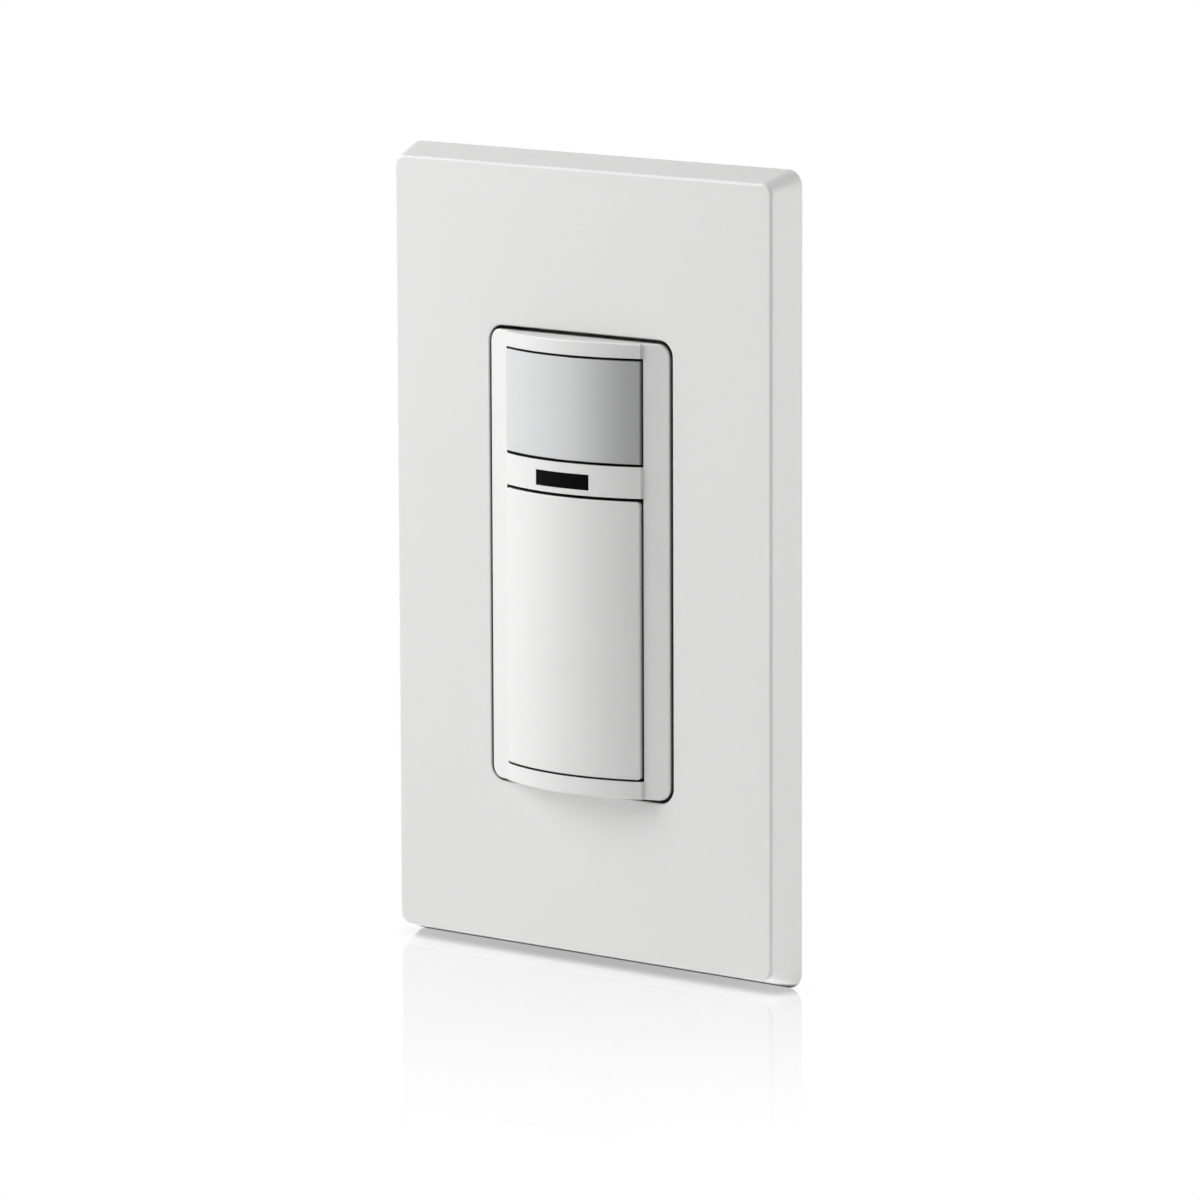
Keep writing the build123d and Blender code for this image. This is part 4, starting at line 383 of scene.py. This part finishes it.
def make_worked_metal():
    """Plated or rolled metal: streaks along Z, mottled plating and fine scratches."""
    group, given, made = new_effect("worked_metal")
    place = group.nodes.new("ShaderNodeTexCoord").outputs["Object"]
    squeeze = group.nodes.new("ShaderNodeVectorMath")
    squeeze.operation = "MULTIPLY"
    squeeze.inputs[1].default_value = (1.0, 1.0, STREAK_SQUEEZE)
    group.links.new(place, squeeze.inputs[0])
    streaks = noise(
        group, squeeze.outputs["Vector"], given.outputs["Grain Scale"], STREAK_DETAIL
    )
    mottle = noise(group, place, MOTTLE_SCALE, MOTTLE_DETAIL)
    shade = spread_round(group, 1.0, given.outputs["Colour Spread"], mottle)
    put_out(group, given, made, shade, streaks, streaks)
    return group


def make_etched_board():
    """A circuit board: copper tracks that show through the mask as raised, lighter lines."""
    group, given, made = new_effect("etched_board")
    place = group.nodes.new("ShaderNodeTexCoord").outputs["Object"]
    cells = group.nodes.new("ShaderNodeTexVoronoi")
    cells.distance = "CHEBYCHEV"
    cells.feature = "F1"
    cells.inputs["Randomness"].default_value = CELL_SCATTER
    group.links.new(place, cells.inputs["Vector"])
    group.links.new(given.outputs["Grain Scale"], cells.inputs["Scale"])
    ladder = group.nodes.new("ShaderNodeMath")
    ladder.operation = "PINGPONG"
    ladder.inputs[1].default_value = TRACK_SPACING
    group.links.new(cells.outputs["Distance"], ladder.inputs[0])
    track = group.nodes.new("ShaderNodeMapRange")
    track.interpolation_type = "SMOOTHSTEP"
    track.inputs["From Min"].default_value = TRACK_EDGE_FROM
    track.inputs["From Max"].default_value = TRACK_EDGE_TO
    group.links.new(ladder.outputs[0], track.inputs["Value"])
    raised = track.outputs["Result"]
    shade = spread_round(group, 1.0, given.outputs["Colour Spread"], raised)
    put_out(group, given, made, shade, raised, raised)
    return group


SKIN = make_moulded_skin()
METAL = make_worked_metal()
BOARD = make_etched_board()


def finish(
    name, effect, colour, roughness, colour_spread, roughness_spread, grain_scale, relief,
    metallic=0.0, coat=0.0, shine=0.5,
):
    """A material whose colour, gloss and fine relief come from one of the shared effects."""
    material = bpy.data.materials.new(name)
    material.use_nodes = True
    tree = material.node_tree
    surface = tree.nodes["Principled BSDF"]
    surface.inputs["Metallic"].default_value = metallic
    surface.inputs["Specular IOR Level"].default_value = shine
    surface.inputs["Coat Weight"].default_value = coat
    surface.inputs["Coat Roughness"].default_value = COAT_ROUGHNESS
    skin = tree.nodes.new("ShaderNodeGroup")
    skin.node_tree = effect
    skin.inputs["Colour"].default_value = (*colour, 1)
    skin.inputs["Colour Spread"].default_value = colour_spread
    skin.inputs["Roughness"].default_value = roughness
    skin.inputs["Roughness Spread"].default_value = roughness_spread
    skin.inputs["Grain Scale"].default_value = grain_scale
    bump = tree.nodes.new("ShaderNodeBump")
    bump.inputs["Distance"].default_value = relief
    tree.links.new(skin.outputs["Colour"], surface.inputs["Base Color"])
    tree.links.new(skin.outputs["Roughness"], surface.inputs["Roughness"])
    tree.links.new(skin.outputs["Height"], bump.inputs["Height"])
    tree.links.new(bump.outputs["Normal"], surface.inputs["Normal"])
    return material


def plated_steel(name, colour=(0.66, 0.66, 0.64), roughness=0.34):
    """Zinc or nickel plated steel."""
    return finish(
        name, METAL, colour, roughness, colour_spread=0.16, roughness_spread=0.22,
        grain_scale=2600.0, relief=0.000006, metallic=1.0,
    )


def copper_alloy(name, colour, roughness=0.42):
    """Brass, bronze or copper."""
    return finish(
        name, METAL, colour, roughness, colour_spread=0.18, roughness_spread=0.20,
        grain_scale=3000.0, relief=0.000004, metallic=1.0,
    )


def dull_plastic(name, colour, roughness=0.55, relief=0.000012):
    """Moulded plastic with a fine spark-eroded grain."""
    return finish(
        name, SKIN, colour, roughness, colour_spread=0.08, roughness_spread=0.12,
        grain_scale=5200.0, relief=relief,
    )


def milky_lens():
    """The heat lens: milky white, with painted shade that darkens it towards its right edge."""
    material = finish(
        "milky_lens", SKIN, (0.70, 0.705, 0.71), 0.46, colour_spread=0.02,
        roughness_spread=0.05, grain_scale=2600.0, relief=0.000005,
    )
    tree = material.node_tree
    surface = tree.nodes["Principled BSDF"]
    skin_colour = surface.inputs["Base Color"].links[0].from_socket
    # painted shade: the lens's colour is darkened along X towards its right edge
    place = tree.nodes.new("ShaderNodeTexCoord")
    across = tree.nodes.new("ShaderNodeSeparateXYZ")
    tree.links.new(place.outputs["Object"], across.inputs[0])
    painted_lens_shade = tree.nodes.new("ShaderNodeMapRange")
    painted_lens_shade.interpolation_type = "SMOOTHERSTEP"
    painted_lens_shade.inputs["From Min"].default_value = LENS_SHADE_FROM_X
    painted_lens_shade.inputs["From Max"].default_value = LENS_SHADE_TO_X
    painted_lens_shade.inputs["To Min"].default_value = LENS_LIT_TONE
    painted_lens_shade.inputs["To Max"].default_value = LENS_SHADED_TONE
    tree.links.new(across.outputs["X"], painted_lens_shade.inputs["Value"])
    tree.links.new(tinted(tree, skin_colour, painted_lens_shade.outputs["Result"]), surface.inputs["Base Color"])
    return material


def make_finishes():
    """Every finish by the nodes that wear it."""
    white = finish(
        "satin_white_cover", SKIN, (0.83, 0.83, 0.825), 0.40, colour_spread=0.015,
        roughness_spread=0.06, grain_scale=3400.0, relief=0.000004,
    )
    white_device = finish(
        "satin_white_device", SKIN, (0.83, 0.83, 0.825), 0.36, colour_spread=0.015,
        roughness_spread=0.06, grain_scale=3400.0, relief=0.000004,
    )
    steel = plated_steel("zinc_plated_steel")
    screw_steel = plated_steel("bright_screw_steel", (0.72, 0.72, 0.70), 0.26)
    iron = plated_steel("plated_iron", (0.56, 0.56, 0.56), 0.38)
    brass = copper_alloy("brass_strip", (0.72, 0.52, 0.22))
    bronze = copper_alloy("contact_bronze", (0.70, 0.44, 0.24))
    winding = copper_alloy("enamelled_winding", (0.56, 0.24, 0.10), 0.34)
    black = dull_plastic("dull_black_moulding", (0.030, 0.030, 0.032))
    mask = finish(
        "green_board", BOARD, (0.020, 0.130, 0.055), 0.30, colour_spread=0.7,
        roughness_spread=0.05, grain_scale=260.0, relief=0.00003, coat=0.4,
    )
    trimmer = dull_plastic("blue_trimmer", (0.03, 0.10, 0.36), 0.45)
    dial = dull_plastic("ivory_dial", (0.78, 0.74, 0.62), 0.42)
    return {
        white: ["wallplate_cover"],
        white_device: ["front_bezel", "push_button"],
        milky_lens(): ["sensor_lens"],
        finish(
            "smoked_window", SKIN, (0.003, 0.003, 0.0035), 0.20, colour_spread=0.2,
            roughness_spread=0.04, grain_scale=2000.0, relief=0.000004, shine=0.03,
        ): ["indicator_window"],
        dull_plastic("plain_white_moulding", (0.78, 0.78, 0.76), 0.50): ["wallplate_subplate"],
        steel: ["mounting_strap", "terminal_clamps"],
        screw_steel: [
            "box_screws", "subplate_screws", "housing_screws", "neutral_screw", "button_springs",
        ],
        iron: [
            "pir_can", "pir_header", "relay_yoke", "relay_core", "relay_armature",
        ],
        brass: [
            "line_terminal_plate", "load_terminal_plate", "neutral_terminal_plate",
            "line_and_load_screws",
        ],
        bronze: ["relay_contact_blade", "relay_fixed_contact"],
        winding: ["relay_coil", "inductor"],
        black: [
            "lens_baffle", "tact_switch_body", "tact_switch_plunger", "relay_base",
            "microcontroller", "amplifier_chip", "board_header",
        ],
        dull_plastic("dark_housing", (0.042, 0.043, 0.046), 0.58, 0.00003): ["rear_housing"],
        mask: ["control_board", "power_board"],
        trimmer: ["time_delay_trimmer", "light_level_trimmer"],
        dial: ["time_delay_dial", "light_level_dial"],
        dull_plastic("natural_insert", (0.74, 0.72, 0.62), 0.45): ["screw_retainers"],
        dull_plastic("off_white_film", (0.66, 0.63, 0.54), 0.50): ["insulating_sheet"],
        dull_plastic("grey_ceramic", (0.24, 0.22, 0.20), 0.50): [
            "pir_element", "control_board_chips",
        ],
        dull_plastic("dark_filter", (0.035, 0.022, 0.045), 0.15): ["pir_filter"],
        dull_plastic("red_indicator", (0.55, 0.05, 0.03), 0.18): ["status_led"],
        dull_plastic("clear_sensor", (0.62, 0.62, 0.60), 0.16): ["photocell"],
        dull_plastic("blue_relay_cover", (0.03, 0.08, 0.34), 0.32): ["relay_cover"],
        dull_plastic("yellow_capacitor", (0.66, 0.42, 0.05), 0.34): ["film_capacitor"],
        dull_plastic("black_sleeve", (0.022, 0.022, 0.030), 0.30): ["electrolytic_capacitor"],
        dull_plastic("blue_coating", (0.03, 0.12, 0.30), 0.38): ["varistor"],
        dull_plastic("brown_coating", (0.30, 0.17, 0.06), 0.38): ["fuse"],
        finish(
            "green_screw", METAL, (0.03, 0.22, 0.08), 0.34, colour_spread=0.2,
            roughness_spread=0.15, grain_scale=2600.0, relief=0.000005, metallic=0.6,
        ): ["ground_screw"],
    }


def dress(finishes):
    """Give every node of the model its finish."""
    for material, names in finishes.items():
        for name in names:
            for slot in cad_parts[name].material_slots:
                slot.material = material


def thread_radius(y, turn, end_y):
    """The radius of a cut thread at a depth y and a share of a turn."""
    level = abs(2 * ((y / THREAD_PITCH - turn) % 1.0) - 1)
    flank = (1 - CREST_SHARE - level) / (1 - 2 * CREST_SHARE)
    run_out = min(1.0, (y - THREAD_START_Y) / THREAD_RUN_OUT)
    cut = THREAD_DEPTH * min(1.0, max(0.0, flank)) * run_out
    taper = max(0.0, (y - (end_y - THREAD_TIP)) / THREAD_TIP)
    return min(THREAD_R - cut, THREAD_R - TIP_DROP * taper)


def add_threaded_shaft(mesh, z, end_y):
    """A closed shaft round the line x 0, z that runs from the wall plane to its tapered tip."""
    step = THREAD_PITCH / RINGS_PER_TURN
    count = math.ceil((end_y - THREAD_START_Y) / step)
    rings = []
    for i in range(count + 1):
        y = THREAD_START_Y + (end_y - THREAD_START_Y) * i / count
        ring = []
        for j in range(THREAD_SIDES):
            turn = j / THREAD_SIDES
            radius = thread_radius(y, turn, end_y)
            angle = 2 * math.pi * turn
            ring.append(
                mesh.verts.new((radius * math.cos(angle), y, z + radius * math.sin(angle)))
            )
        rings.append(ring)
    for near, far in zip(rings, rings[1:]):
        for j in range(THREAD_SIDES):
            k = (j + 1) % THREAD_SIDES
            face = mesh.faces.new((near[j], near[k], far[k], far[j]))
            face.smooth = True
    mesh.faces.new(rings[0])
    mesh.faces.new(reversed(rings[-1]))


def make_threaded_box_screws(material):
    """The two box screws with their real threads behind the wall plane."""
    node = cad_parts["box_screws"]
    far_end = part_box("box_screws")[1][1]
    mesh = bmesh.new()
    mesh.from_mesh(node.data)
    parts = mesh.verts[:] + mesh.edges[:] + mesh.faces[:]
    cut = bmesh.ops.bisect_plane(
        mesh, geom=parts, plane_co=(0, 0, 0), plane_no=(0, 1, 0), clear_outer=True
    )
    edges = [part for part in cut["geom_cut"] if isinstance(part, bmesh.types.BMEdge)]
    bmesh.ops.holes_fill(mesh, edges=edges)
    heights = [vert.co.z for vert in mesh.verts if vert.co.z > 0]
    middle = (max(heights) + min(heights)) / 2
    for z in (-middle, middle):
        add_threaded_shaft(mesh, z, far_end)
    bmesh.ops.recalc_face_normals(mesh, faces=mesh.faces[:])
    data = bpy.data.meshes.new("threaded_box_screws")
    mesh.to_mesh(data)
    mesh.free()
    data.materials.append(material)
    screws = bpy.data.objects.new("threaded_box_screws", data)
    bpy.context.scene.collection.objects.link(screws)
    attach(screws, "switch_frame")
    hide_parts("box_screws")


def make_flexing_springs():
    """The two button springs, as a mesh of their own on the switch frame."""
    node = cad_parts["button_springs"]
    springs = bpy.data.objects.new("flexing_button_springs", node.data.copy())
    bpy.context.scene.collection.objects.link(springs)
    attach(springs, "switch_frame")
    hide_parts("button_springs")
    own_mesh(springs)


bpy.context.scene.view_settings.view_transform = "Standard"
place_camera()
light_studio()
lay_floor()
FINISHES = make_finishes()
dress(FINISHES)
make_threaded_box_screws(bpy.data.materials["bright_screw_steel"])
make_flexing_springs()
